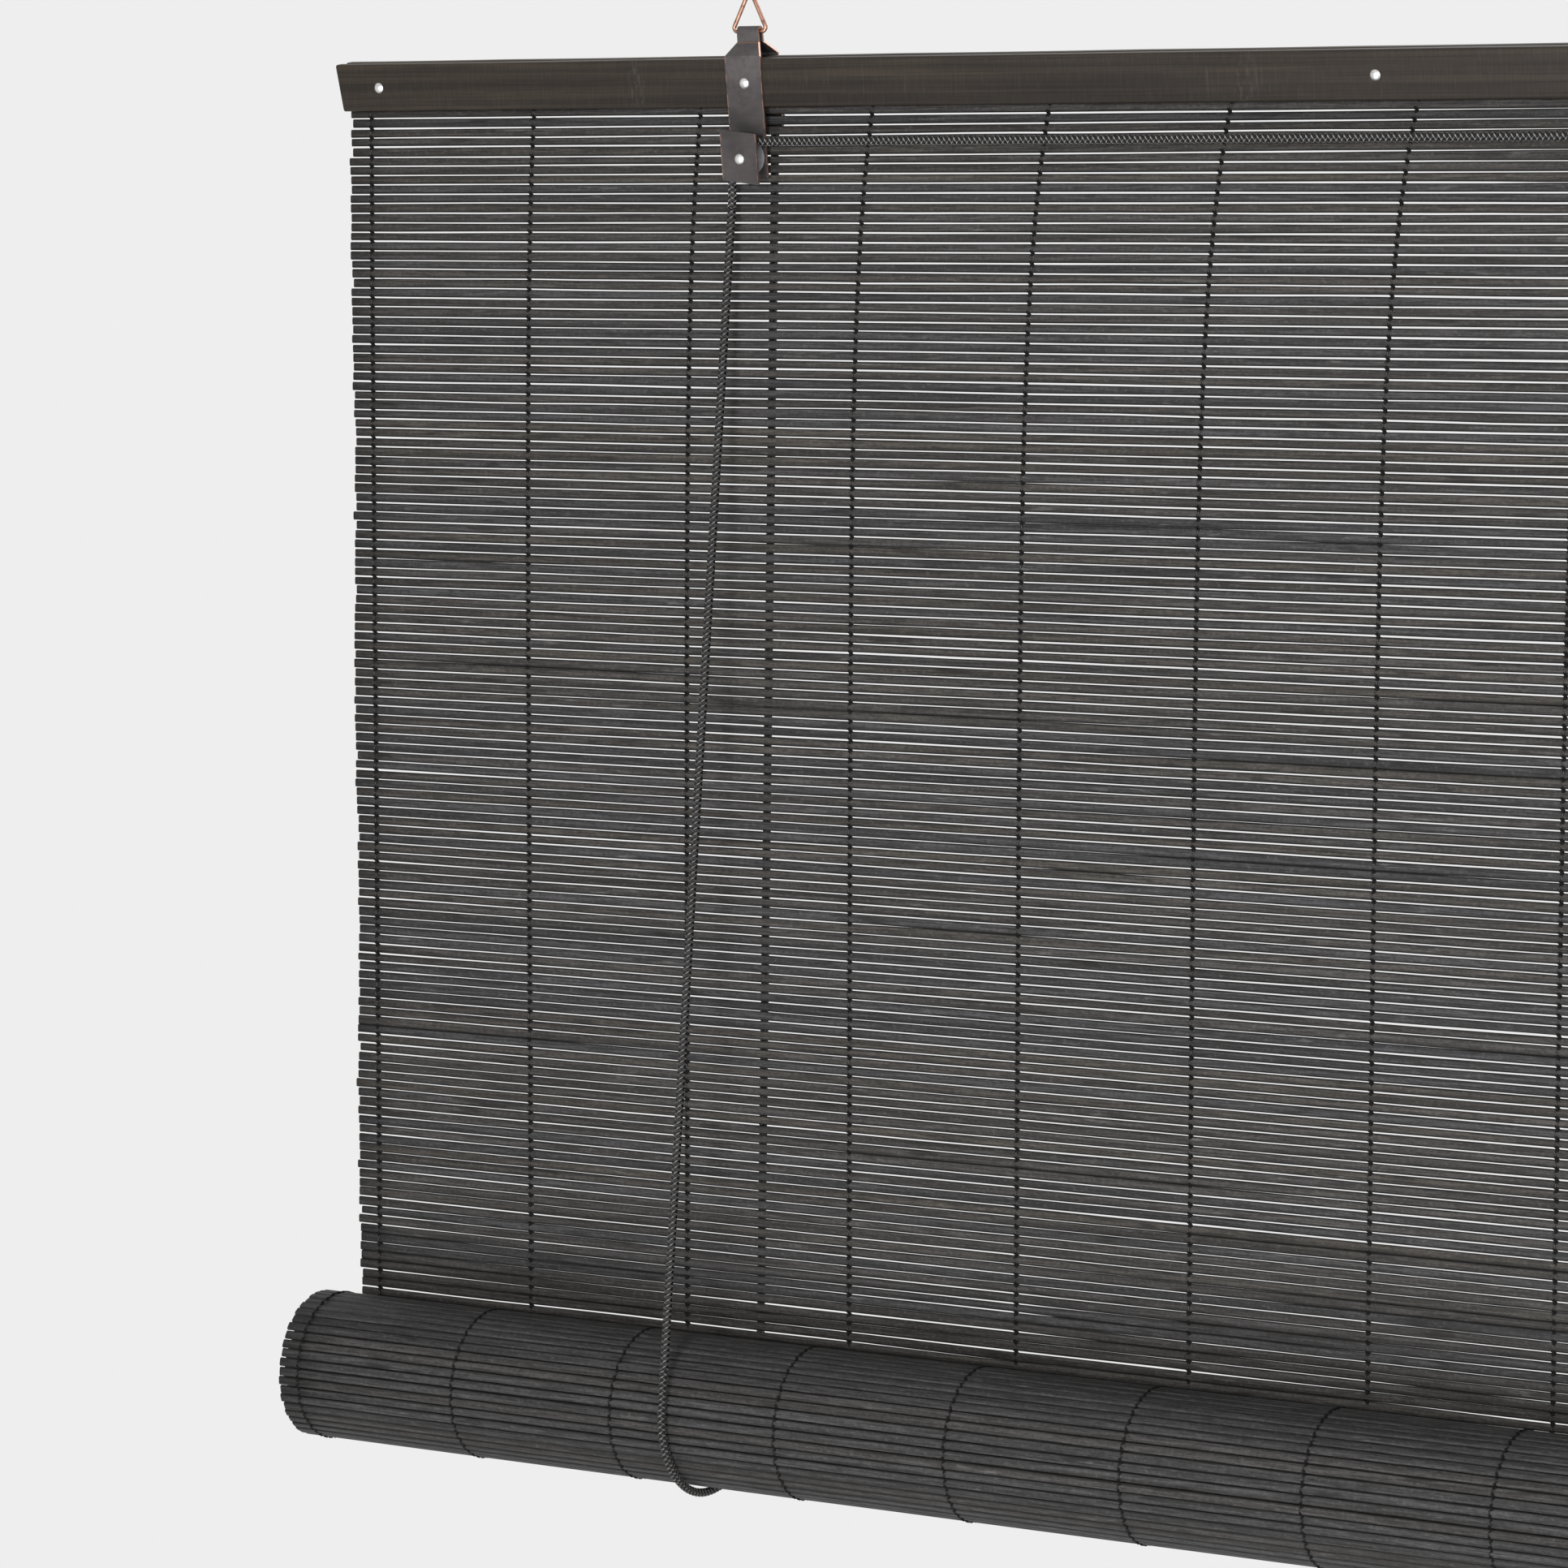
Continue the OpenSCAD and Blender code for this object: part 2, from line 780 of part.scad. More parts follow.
// The turned bell that joins the two pull ends
module cord_bell() {
    r = bell_d / 2;
    neck_r = cord_d + 1.2;
    color("#2c2622")
        translate(bell_top() - [0, 0, bell_h])
            rotate_extrude()
                polygon([
                    [0, 0], [r * 0.75, 0], [r * 0.95, bell_h * 0.08],
                    [r, bell_h * 0.3], [r * 0.9, bell_h * 0.55],
                    [neck_r + 0.6, bell_h * 0.8], [neck_r, bell_h * 0.9],
                    [neck_r, bell_h], [0, bell_h],
                ]);
}

front_batten();
rear_batten();
rail_rivets();
left_strap();
right_strap();
strap_rivets();
left_front_plate();
right_front_plate();
left_axle();
right_axle();
left_pulley();
right_rear_pulley();
right_front_pulley();
left_ring();
right_ring();
slat_mat();
mat_strings();
mat_tail();
tail_strings();
slat_roll();
roll_strings();
bottom_batten();
left_front_cord();
left_rear_cord();
left_cord_loop();
left_cord_knot();
right_front_cord();
right_rear_cord();
right_cord_loop();
right_cord_knot();
cross_cord();
right_over_cord();
cord_bell();
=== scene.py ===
"""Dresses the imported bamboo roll-up blind: slats, twine, rail, hangers and cords.

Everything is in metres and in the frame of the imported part: X runs along the
slats, the face looks towards -Y, Z is up and the origin lies midway between the
two points where the hooks seat.
"""

import logging
import math
from dataclasses import dataclass, field
from enum import Enum
from typing import Any, Callable, Sequence, Union

import bmesh
import bpy
import numpy as np
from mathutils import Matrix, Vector


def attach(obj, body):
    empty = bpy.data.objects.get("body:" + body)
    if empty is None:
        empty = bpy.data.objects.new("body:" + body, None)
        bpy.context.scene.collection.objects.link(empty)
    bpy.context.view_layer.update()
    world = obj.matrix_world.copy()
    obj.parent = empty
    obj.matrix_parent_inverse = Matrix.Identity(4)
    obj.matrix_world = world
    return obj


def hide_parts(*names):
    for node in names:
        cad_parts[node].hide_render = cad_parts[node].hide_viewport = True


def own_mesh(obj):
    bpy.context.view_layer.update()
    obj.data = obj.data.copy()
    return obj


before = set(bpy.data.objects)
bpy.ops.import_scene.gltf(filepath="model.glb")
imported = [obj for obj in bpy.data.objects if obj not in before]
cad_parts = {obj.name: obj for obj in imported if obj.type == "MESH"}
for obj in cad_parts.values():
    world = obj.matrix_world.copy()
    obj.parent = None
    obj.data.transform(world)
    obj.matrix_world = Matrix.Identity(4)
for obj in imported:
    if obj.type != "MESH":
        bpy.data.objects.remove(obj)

log = logging.getLogger("blind")
Colour = tuple[float, float, float]
Point = Sequence[float]
Number = Union[float, "Value"]
Waves = tuple[tuple[float, float], ...]
ACROSS = np.array([1.0, 0.0, 0.0])


class Body(Enum):
    """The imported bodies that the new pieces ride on."""

    HEAD = "head"
    LIFT = "lift"
    ROLL = "roll"
    LEFT_RING = "left_ring"
    RIGHT_RING = "right_ring"


class Slot(Enum):
    """Material slots of the pieces."""

    BAMBOO = "bamboo"
    BATTEN = "batten"
    TWINE = "twine"
    CORD = "cord"
    STRAP = "strap"
    COPPER = "copper_wire"
    RIVET = "rivet"
    PULLEY = "pulley"
    BELL = "bell"


@dataclass(frozen=True)
class Sizes:
    """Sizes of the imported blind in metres, named as in the part's source."""

    blind_w: float = 1.0
    mat_drop: float = 0.567
    slat_t: float = 0.002
    slat_h: float = 0.0034
    slat_pitch: float = 0.0042
    open_gaps: int = 120
    string_count: int = 13
    string_inset: float = 0.010
    string_t: float = 0.0004
    rail_over: float = 0.002
    rail_h: float = 0.021
    batten_t: float = 0.006
    rail_below_bar: float = 0.011
    lean: float = math.radians(8)
    hanger_x: float = 0.292
    wire_r: float = 0.00095
    ring_w: float = 0.0172
    ring_h: float = 0.018
    sheet_t: float = 0.001
    rear_leg: float = 0.013
    axle_below_rail: float = 0.021
    pulley_w: float = 0.007
    groove_d: float = 0.0096
    plate_drop: float = 0.01012
    roll_r: float = 0.033
    roll_slats: int = 48
    turn_t: float = 0.0031
    tail_angle: float = math.radians(55)
    cord_d: float = 0.004
    pull_end: float = 0.046
    bell_d: float = 0.017
    bell_h: float = 0.030
    rear_run_offset: float = 0.003
    running: float = 0.00035
    string_seat: float = 0.0001
    lift: float = 0.4

    @property
    def bar_z(self) -> float:
        """Height of the rings' bars, about which the head leans."""
        apex_half = math.atan2(self.ring_w / 2, self.ring_h)
        return self.wire_r / math.sin(apex_half) - self.ring_h

    @property
    def rail_bottom(self) -> float:
        """Height of the rail's lower edge before the head leans."""
        return self.bar_z - self.rail_below_bar - self.rail_h

    @property
    def mat_half(self) -> float:
        """Half the mat's thickness with its strings."""
        return self.slat_t / 2 + self.string_t

    @property
    def leg_out(self) -> float:
        """Depth of the straps' outer faces."""
        return self.mat_half + self.batten_t + self.sheet_t

    @property
    def axle_z(self) -> float:
        """Height of the pulleys' axles before the head leans."""
        return self.rail_bottom - self.axle_below_rail

    @property
    def wrap_r(self) -> float:
        """Radius of a cord's middle line round a pulley."""
        return self.groove_d / 2 + self.running / 2 + self.cord_d / 2

    @property
    def near_y(self) -> float:
        """Depth of the pulleys next to the straps."""
        return -self.leg_out - self.running - self.pulley_w / 2

    @property
    def far_y(self) -> float:
        """Depth of the right hanger's outer pulley."""
        return self.near_y - self.pulley_w - self.running

    @property
    def mat_exit(self) -> np.ndarray:
        """Where the mat's middle leaves the rail."""
        return self.leaned(0, 0, self.rail_bottom)

    @property
    def tail_r(self) -> float:
        """Radius of the mat's middle where it meets the roll."""
        return self.roll_r + self.string_seat + self.string_t + self.running + self.mat_half

    @property
    def roll_y(self) -> float:
        """Depth of the roll's axis."""
        return float(self.mat_exit[1]) - self.tail_r

    @property
    def roll_z(self) -> float:
        """Height of the roll's axis."""
        return float(self.mat_exit[2]) - self.mat_drop

    @property
    def head_down(self) -> np.ndarray:
        """Downward direction of the leaning head."""
        return np.array([0.0, math.sin(self.lean), -math.cos(self.lean)])

    @property
    def head_back(self) -> np.ndarray:
        """Backward direction of the leaning head."""
        return np.array([0.0, math.cos(self.lean), math.sin(self.lean)])

    def leaned(self, x: float, y: float, z: float) -> np.ndarray:
        """Places a point of the upright head in the frame of the blind.

        Args:
            x: Place along the slats.
            y: Depth in the upright head.
            z: Height in the upright head.

        Returns:
            The point as it lies with the head leaning about the rings' bars.
        """
        return np.array([x, 0, self.bar_z]) + y * self.head_back - (z - self.bar_z) * self.head_down

    def round_roll(self, r: float, angle: float) -> tuple[float, float]:
        """Gives depth and height of a point round the roll.

        Args:
            r: Distance from the roll's axis.
            angle: Angle in radians, 0 at the back and a right angle under the roll.

        Returns:
            Depth and height.
        """
        return self.roll_y + r * math.cos(angle), self.roll_z - r * math.sin(angle)

    def string_places(self) -> np.ndarray:
        """Places of the warp strings along the slats."""
        span = self.blind_w / 2 - self.string_inset
        return np.linspace(-span, span, self.string_count)


SIZES = Sizes()


class Value:
    """A shader socket that stands in Python sums; each sum adds a Math node."""

    def __init__(self, board: "Board", socket: bpy.types.NodeSocket) -> None:
        """Keeps the socket and the board that it is on."""
        self.board = board
        self.socket = socket

    def _sum(self, operation: str, *terms: Number) -> "Value":
        """Adds one Math node and returns its result."""
        return self.board.node("ShaderNodeMath", {"operation": operation}, dict(enumerate(terms)))

    def __add__(self, other: Number) -> "Value":
        """Adds."""
        return self._sum("ADD", self, other)

    __radd__ = __add__

    def __sub__(self, other: Number) -> "Value":
        """Subtracts a number or socket."""
        return self._sum("SUBTRACT", self, other)

    def __rsub__(self, other: Number) -> "Value":
        """Subtracts this from a number."""
        return self._sum("SUBTRACT", other, self)

    def __mul__(self, other: Number) -> "Value":
        """Multiplies."""
        return self._sum("MULTIPLY", self, other)

    __rmul__ = __mul__

    def __abs__(self) -> "Value":
        """Drops the sign."""
        return self._sum("ABSOLUTE", self)

    def __mod__(self, other: float) -> "Value":
        """Gives the rest of a division, never below zero."""
        return self._sum("FLOORED_MODULO", self, other)

    def sine(self) -> "Value":
        """Gives the sine."""
        return self._sum("SINE", self)

    def larger(self, other: Number) -> "Value":
        """Gives the larger of two."""
        return self._sum("MAXIMUM", self, other)

    def ease(self, low: float, high: float) -> "Value":
        """Goes smoothly from 0 at low to 1 at high, also where low is the larger."""
        flip = low > high
        stops = (high, low) if flip else (low, high)
        eased = self.board.node(
            "ShaderNodeMapRange",
            {"interpolation_type": "SMOOTHSTEP"},
            {0: self, 1: stops[0], 2: stops[1]},
        )
        return 1 - eased if flip else eased

    def out(self, key: Union[str, int]) -> "Value":
        """Gives another output of the node that this one comes from."""
        return Value(self.board, self.socket.node.outputs[key])


class Board:
    """The node tree of one material, or of the world."""

    def __init__(self, name: str, shelf: Any = None) -> None:
        """Starts a material with no nodes, or what another shelf of Blender's data holds."""
        holders = bpy.data.materials if shelf is None else shelf
        self.owner = holders.new(name)
        self.owner.use_nodes = True
        self.tree = self.owner.node_tree
        self.tree.nodes.clear()

    def node(self, kind: str, settings: dict[str, Any] | None = None,
             inputs: dict[Union[str, int], Any] | None = None) -> Value:
        """Adds a node.

        Args:
            kind: The node's type.
            settings: The node's own settings, set before its sockets.
            inputs: A value or a link for each socket, by name or number.

        Returns:
            The node's first output that is in use.
        """
        made = self.tree.nodes.new(kind)
        for name, setting in (settings or {}).items():
            setattr(made, name, setting)
        for key, given in (inputs or {}).items():
            socket = made.inputs[key]
            if isinstance(given, Value):
                self.tree.links.new(given.socket, socket)
            elif socket.type == "RGBA":
                socket.default_value = (*given, 1.0)
            else:
                socket.default_value = given
        shown = [socket for socket in made.outputs if socket.enabled]
        return Value(self, shown[0])

    def place(self) -> Value:
        """Gives the place on the piece, which is the place on the part."""
        return self.node("ShaderNodeTexCoord").out("Object")

    def mark(self, name: str) -> Value:
        """Gives the colour of an attribute that the mesh carries."""
        return self.node("ShaderNodeAttribute", {"attribute_name": name}).out("Color")

    def split(self, vector: Value) -> tuple[Value, Value, Value]:
        """Splits a vector or colour into its three numbers."""
        first = self.node("ShaderNodeSeparateXYZ", inputs={0: vector})
        return first, first.out(1), first.out(2)

    def join(self, x: Number, y: Number, z: Number) -> Value:
        """Joins three numbers into a vector."""
        return self.node("ShaderNodeCombineXYZ", inputs={0: x, 1: y, 2: z})

    def moved(self, at: Value, by: Any) -> Value:
        """Adds a vector to a place."""
        return self.node("ShaderNodeVectorMath", {"operation": "ADD"}, {0: at, 1: by})

    def stretched(self, at: Value, scale: Point, turn: Point = (0, 0, 0)) -> Value:
        """Scales a place along each axis and then turns it."""
        return self.node("ShaderNodeMapping", inputs={"Vector": at, "Scale": scale, "Rotation": turn})

    def noise(self, at: Value, scale: float = 1, detail: float = 3, rough: float = 0.5) -> Value:
        """Gives smooth noise from 0 to 1."""
        wanted = {"Vector": at, "Scale": scale, "Detail": detail, "Roughness": rough}
        return self.node("ShaderNodeTexNoise", inputs=wanted).out(0)

    def blend(self, share: Number, first: Any, second: Any) -> Value:
        """Mixes two colours by a share of the second."""
        return self.node("ShaderNodeMix", {"data_type": "RGBA"}, {0: share, 6: first, 7: second}).out(2)

    def bump(self, height: Value, distance: float, strength: float = 1) -> Value:
        """Gives the normal of a surface with that relief."""
        return self.node("ShaderNodeBump",
                         inputs={"Height": height, "Distance": distance, "Strength": strength})

    def dress(self, inputs: dict[str, Any]) -> bpy.types.Material:
        """Ends the material with a principled shader.

        Args:
            inputs: The shader's sockets by name.

        Returns:
            The finished material.
        """
        self.close(self.node("ShaderNodeBsdfPrincipled", inputs=inputs))
        return self.owner

    def close(self, shader: Value, end: str = "ShaderNodeOutputMaterial") -> None:
        """Ends the tree with a shader on its output."""
        output = self.tree.nodes.new(end)
        self.tree.links.new(shader.socket, output.inputs["Surface"])

    def seen(self) -> Value:
        """Gives 1 for rays of the camera, of gloss and through glass, and 0 for light."""
        ray = self.node("ShaderNodeLightPath")
        return ray.larger(ray.out("Is Glossy Ray")).larger(ray.out("Is Transmission Ray"))


@dataclass(frozen=True)
class CharredBamboo:
    """Black-stained bamboo: long fibres, slats that differ in tone, pale scuffs, and painted shade along
    each slat's edges.
    """

    cool: Colour = (0.066, 0.066, 0.070)
    warm: Colour = (0.078, 0.070, 0.061)
    deep: Colour = (0.0085, 0.008, 0.0075)
    scuffed: Colour = (0.15, 0.147, 0.143)
    roughness: float = 0.6

    def material(self) -> bpy.types.Material:
        """Builds the material; it reads each slat's own tone from the mesh."""
        board = Board("charred bamboo")
        at = board.place()
        own_mark = board.mark("slat")
        tone, warmth, shift = board.split(own_mark)
        level = own_mark.out("Alpha")
        own = board.moved(at, board.join(shift * 7, shift * 3, shift * 5))
        fibre = board.noise(board.stretched(own, (55, 1900, 1900)), 1, 4, 0.68)
        streak = board.noise(board.stretched(own, (7, 560, 560)), 1, 3, 0.6)
        fleck = board.noise(board.stretched(own, (520, 760, 760)), 1, 3, 0.7)
        patch = board.noise(board.stretched(own, (26, 60, 60)), 1, 3)
        scuff = board.noise(board.stretched(own, (60, 620, 620)), 1, 3, 0.65).ease(0.58, 0.72)
        scuff = scuff * patch.ease(0.5, 0.66)
        ground = board.blend(warmth, self.cool, self.warm)
        ground = board.blend(streak.ease(0.6, 0.36) * 0.45 + tone * 0.25, ground, self.deep)
        ground = board.blend(fibre.ease(0.58, 0.4) * 0.62, ground, self.deep)
        ground = board.blend(fleck.ease(0.5, 0.34) * 0.4, ground, self.deep)
        ground = board.blend(fleck.ease(0.54, 0.74) * 0.28, ground, self.scuffed)
        smear = board.noise(board.stretched(own, (34, 260, 260)), 1, 2, 0.6).ease(0.6, 0.72)
        ground = board.blend(smear * 0.6, ground, self.deep)
        colour = board.blend(scuff * 0.6, ground, self.scuffed)
        # Painted shade: each slat is darkened towards its lower edge, and less towards its upper edge.
        edge_shade = (level.ease(0.34, 0.1) * 0.8).larger(level.ease(0.84, 0.97) * 0.5)
        colour = board.blend(edge_shade, colour, self.deep)
        rough = self.roughness + (fibre - 0.5) * 0.3 + scuff * 0.15 - patch * 0.08
        relief = fibre * 0.6 + streak * 0.4
        return board.dress({
            "Base Color": colour,
            "Roughness": rough,
            "Specular IOR Level": 0.17,
            "Normal": board.bump(relief, 0.00045, 1.0),
        })


@dataclass(frozen=True)
class StainedBatten:
    """Black-stained bamboo splits of the rail, rubbed brown along the edges."""

    stain: Colour = (0.034, 0.0265, 0.020)
    deep: Colour = (0.009, 0.0075, 0.006)
    wear_and_painted_light: Colour = (0.058, 0.044, 0.031)
    scratched: Colour = (0.12, 0.11, 0.10)
    knuckle: float = -0.347
    knuckle_step: float = 0.289

    def material(self) -> bpy.types.Material:
        """Builds the material; its grain follows the leaning rail."""
        board = Board("stained batten")
        at = board.moved(board.place(), (0, 0, -SIZES.bar_z))
        upright = board.stretched(at, (1, 1, 1), (-SIZES.lean, 0, 0))
        x, _, z = board.split(upright)
        fibre = board.noise(board.stretched(upright, (9, 1100, 1100)), 1, 4, 0.6)
        streak = board.noise(board.stretched(upright, (3.2, 260, 260)), 1, 3)
        cloud = board.noise(board.stretched(upright, (9, 40, 70)), 1, 3, 0.6)
        middle = SIZES.rail_below_bar + SIZES.rail_h / 2
        edge = abs(z + middle).ease(SIZES.rail_h / 2 - 0.0034, SIZES.rail_h / 2)
        rub = (cloud.ease(0.5, 0.66) * 0.75 + edge * cloud.ease(0.4, 0.6) * 0.6) * streak.ease(0.3, 0.6)
        half = self.knuckle_step / 2
        near = abs((x - (self.knuckle - half)) % self.knuckle_step - half)
        ring = near.ease(0.007, 0.001)
        speck = board.noise(board.stretched(upright, (900, 500, 260)), 1, 3, 0.7).ease(0.52, 0.62)
        cross = board.noise(board.stretched(upright, (1500, 300, 22)), 1, 2, 0.5).ease(0.64, 0.72)
        cross = cross * cloud.ease(0.42, 0.6)
        ground = board.blend(streak.ease(0.62, 0.36) * 0.6, self.stain, self.deep)
        ground = board.blend(fibre.ease(0.58, 0.36) * 0.5, ground, self.deep)
        hatch = board.noise(board.stretched(upright, (1700, 300, 120)), 1, 3, 0.6)
        ground = board.blend(hatch.ease(0.56, 0.4) * 0.22, ground, self.deep)
        ground = board.blend(rub * 0.4, ground, self.wear_and_painted_light)
        ground = board.blend(hatch.ease(0.54, 0.72) * 0.07, ground, self.scratched)
        colour = board.blend((ring * speck * 0.2).larger(cross * 0.16), ground, self.scratched)
        rough = 0.46 + (fibre - 0.5) * 0.3 + rub * 0.12 + ring * 0.1
        relief = fibre * 0.5 + streak * 0.5 + ring * 0.6
        return board.dress({
            "Base Color": colour,
            "Roughness": rough,
            "Specular IOR Level": 0.2,
            "Normal": board.bump(relief, 0.0003, 0.8),
        })


@dataclass(frozen=True)
class TwistedTwine:
    """Waxed black twine, two plies twisted, painted near black as painted shade where it knots in the gaps
    between slats.
    """

    ply: Colour = (0.075, 0.073, 0.071)
    # Painted shade in the grooves between the twisted plies.
    groove: Colour = (0.008, 0.008, 0.0078)
    # Painted shade: the threads are painted this dark where they cross in the shaded gaps between slats.
    knot: Colour = (0.003, 0.003, 0.003)
    ply_length: float = 0.0016

    def material(self) -> bpy.types.Material:
        """Builds the material; the twist follows the strand's own map."""
        board = Board("twisted twine")
        along, around, _ = board.split(board.node("ShaderNodeTexCoord").out("UV"))
        twist = (along * (2 * math.pi / self.ply_length) + around * (4 * math.pi)).sine() * 0.5 + 0.5
        fuzz = board.noise(board.place(), 5200, 2, 0.6)
        # The relief mark is 0 in the gaps, where the twine takes the painted shade, and 1 on the slats'
        # faces.
        laid, _, _ = board.split(board.mark("relief"))
        colour = board.blend((twist * 0.7 + fuzz * 0.3).ease(0.15, 0.75), self.groove, self.ply)
        return board.dress({
            "Base Color": board.blend(laid.ease(0.6, 1.0), self.knot, colour),
            "Roughness": 0.6 + fuzz * 0.2,
            "Specular IOR Level": 0.15,
            "Normal": board.bump(twist + fuzz * 0.4, 0.00012, 0.8),
        })


@dataclass(frozen=True)
class BraidedCord:
    """Black braided cord: satin strands with painted shade in the valleys between them."""

    name: str = "braided cord"
    strand: Colour = (0.17, 0.165, 0.161)
    # Painted shade: the colour in the braid's valleys.
    valley: Colour = (0.003, 0.003, 0.003)

    def material(self) -> bpy.types.Material:
        """Builds the material; the mesh carries the braid's relief."""
        board = Board(self.name)
        relief, _, _ = board.split(board.mark("relief"))
        at = board.place()
        along, around, _ = board.split(board.node("ShaderNodeTexCoord").out("UV"))
        thread = (along * 5200 + around * 60).sine() * 0.5 + 0.5
        fuzz = board.noise(at, 3600, 3, 0.6)
        wear = board.noise(at, 60, 2)
        # Painted shade: the colour goes towards the valley's dark where the braid's relief is low.
        high = relief.ease(0.52, 0.95)
        shade = high * (0.5 + fuzz * 0.4 + wear * 0.3)
        return board.dress({
            "Base Color": board.blend(shade, self.valley, self.strand),
            "Roughness": 0.42 + fuzz * 0.22,
            "Specular IOR Level": 0.3,
            "Normal": board.bump(fuzz * 0.6 + thread * 0.4, 0.0001, 0.7),
        })


@dataclass(frozen=True)
class LitCord(BraidedCord):
    """The same cord painted lighter where it runs across the head and over the pulleys, as painted light;
    the hanging runs use the darker copy.
    """

    name: str = "rubbed cord"
    strand: Colour = (0.31, 0.302, 0.296)


@dataclass(frozen=True)
class BronzedSheet:
    """Dark bronzed steel sheet, its cut edges worn to copper, painted lighter towards the top as a painted
    reflection, with a copper line painted at the fold as its highlight.
    """

    ground: Colour = (0.105, 0.094, 0.095)
    dark: Colour = (0.045, 0.039, 0.040)
    copper: Colour = (0.33, 0.19, 0.135)
    half_width: float = 0.00875
    fold: float = 0.0045

    def material(self) -> bpy.types.Material:
        """Builds the material; the bare edges follow the strap's outline."""
        board = Board("bronzed sheet")
        at = board.place()
        x, _, _ = board.split(at)
        facing, _, _ = board.split(board.node("ShaderNodeNewGeometry").out("Normal"))
        cloud = board.noise(board.stretched(at, (55, 55, 90)), 1, 3, 0.55)
        fine = board.noise(at, 2600, 3, 0.6)
        scratch = board.noise(board.stretched(at, (700, 700, 60), (0, 0.5, 0)), 1, 2).ease(0.66, 0.74)
        rim = abs(abs(x) - SIZES.hanger_x).ease(self.half_width - 0.0006, self.half_width - 0.0001)
        cut = abs(facing).ease(0.55, 0.75)
        upright = board.stretched(board.moved(at, (0, 0, -SIZES.bar_z)), (1, 1, 1), (-SIZES.lean, 0, 0))
        _, _, height = board.split(upright)
        # Painted highlight: a copper line along the fold where the sheet bends out to the legs.
        fold = abs(height + self.fold).ease(0.00055, 0.0001) * 0.55
        # Bare copper on the cut edges and worn rims, with the fold's painted highlight.
        bare_and_fold_highlight = cut.larger(rim * board.noise(at, 420, 2).ease(0.42, 0.56) * 0.8).larger(fold)
        # Painted reflection: the sheet is painted lighter towards the top and darker below.
        high = height.ease(-0.034, -0.012)
        ground = board.blend(cloud.ease(0.3, 0.7) * 0.45 + high * 0.55, self.dark, self.ground)
        mottle = board.noise(at, 420, 4, 0.68)
        ground = board.blend(mottle.ease(0.54, 0.36) * 0.35, ground, self.dark)
        ground = board.blend(scratch * 0.12, ground, self.copper)
        return board.dress({
            "Base Color": board.blend(bare_and_fold_highlight * 0.85, ground, self.copper),
            "Metallic": 0.55 + bare_and_fold_highlight * 0.35,
            "Roughness": 0.38 + (cloud - 0.5) * 0.18 + fine * 0.1 - scratch * 0.1,
            "Normal": board.bump(fine * 0.5 + cloud * 0.5, 0.00006, 0.6),
        })


@dataclass(frozen=True)
class CopperWire:
    """Copper-plated wire, dulled and browned in places."""

    bright: Colour = (0.40, 0.225, 0.165)
    brown: Colour = (0.10, 0.055, 0.043)

    def material(self) -> bpy.types.Material:
        """Builds the material."""
        board = Board("copper wire")
        at = board.place()
        cloud = board.noise(at, 330, 4, 0.6)
        draw = board.noise(board.stretched(at, (2200, 2200, 180)), 1, 3)
        dull = cloud.ease(0.42, 0.66)
        return board.dress({
            "Base Color": board.blend(dull * 0.75, self.bright, self.brown),
            "Metallic": 1.0,
            "Roughness": 0.26 + dull * 0.25 + draw * 0.12,
            "Normal": board.bump(draw, 0.00003, 0.5),
        })


@dataclass(frozen=True)
class BrightRivet:
    """Zinc-bright rivets with small dents from the setting tool."""

    zinc: Colour = (0.68, 0.68, 0.67)
    grey: Colour = (0.32, 0.32, 0.33)

    def material(self) -> bpy.types.Material:
        """Builds the material."""
        board = Board("bright rivet")
        at = board.place()
        dent = board.noise(at, 900, 3, 0.6)
        fine = board.noise(at, 5200, 2)
        return board.dress({
            "Base Color": board.blend(dent.ease(0.5, 0.68) * 0.7, self.zinc, self.grey),
            "Metallic": 1.0,
            "Roughness": 0.24 + dent * 0.16 + fine * 0.1,
            "Normal": board.bump(dent * 0.8 + fine * 0.2, 0.0001, 0.6),
        })


@dataclass(frozen=True)
class GreyPlastic:
    """Grey moulded plastic with a fine spark texture and rubbed rims."""

    grey: Colour = (0.135, 0.137, 0.142)
    wear_and_painted_light: Colour = (0.25, 0.25, 0.255)

    def material(self) -> bpy.types.Material:
        """Builds the material."""
        board = Board("grey plastic")
        at = board.place()
        spark = board.noise(at, 4200, 2, 0.6)
        cloud = board.noise(at, 260, 3)
        return board.dress({
            "Base Color": board.blend(cloud.ease(0.48, 0.7) * 0.45, self.grey, self.wear_and_painted_light),
            "Roughness": 0.46 + spark * 0.2,
            "Normal": board.bump(spark, 0.00005, 0.6),
        })


@dataclass(frozen=True)
class TurnedWood:
    """Dark lacquered turned wood with its grain along the turning axis."""

    lacquer: Colour = (0.030, 0.022, 0.016)
    grain: Colour = (0.010, 0.0075, 0.006)

    def material(self) -> bpy.types.Material:
        """Builds the material."""
        board = Board("turned wood")
        at = board.place()
        fibre = board.noise(board.stretched(at, (900, 900, 45)), 1, 4, 0.6)
        _, _, z = board.split(at)
        turning = (z * 9000 + board.noise(at, 200, 2) * 3).sine() * 0.5 + 0.5
        return board.dress({
            "Base Color": board.blend(fibre.ease(0.36, 0.64), self.grain, self.lacquer),
            "Roughness": 0.34 + fibre * 0.16,
            "Coat Weight": 0.3,
            "Normal": board.bump(fibre * 0.7 + turning * 0.15, 0.00012, 0.5),
        })


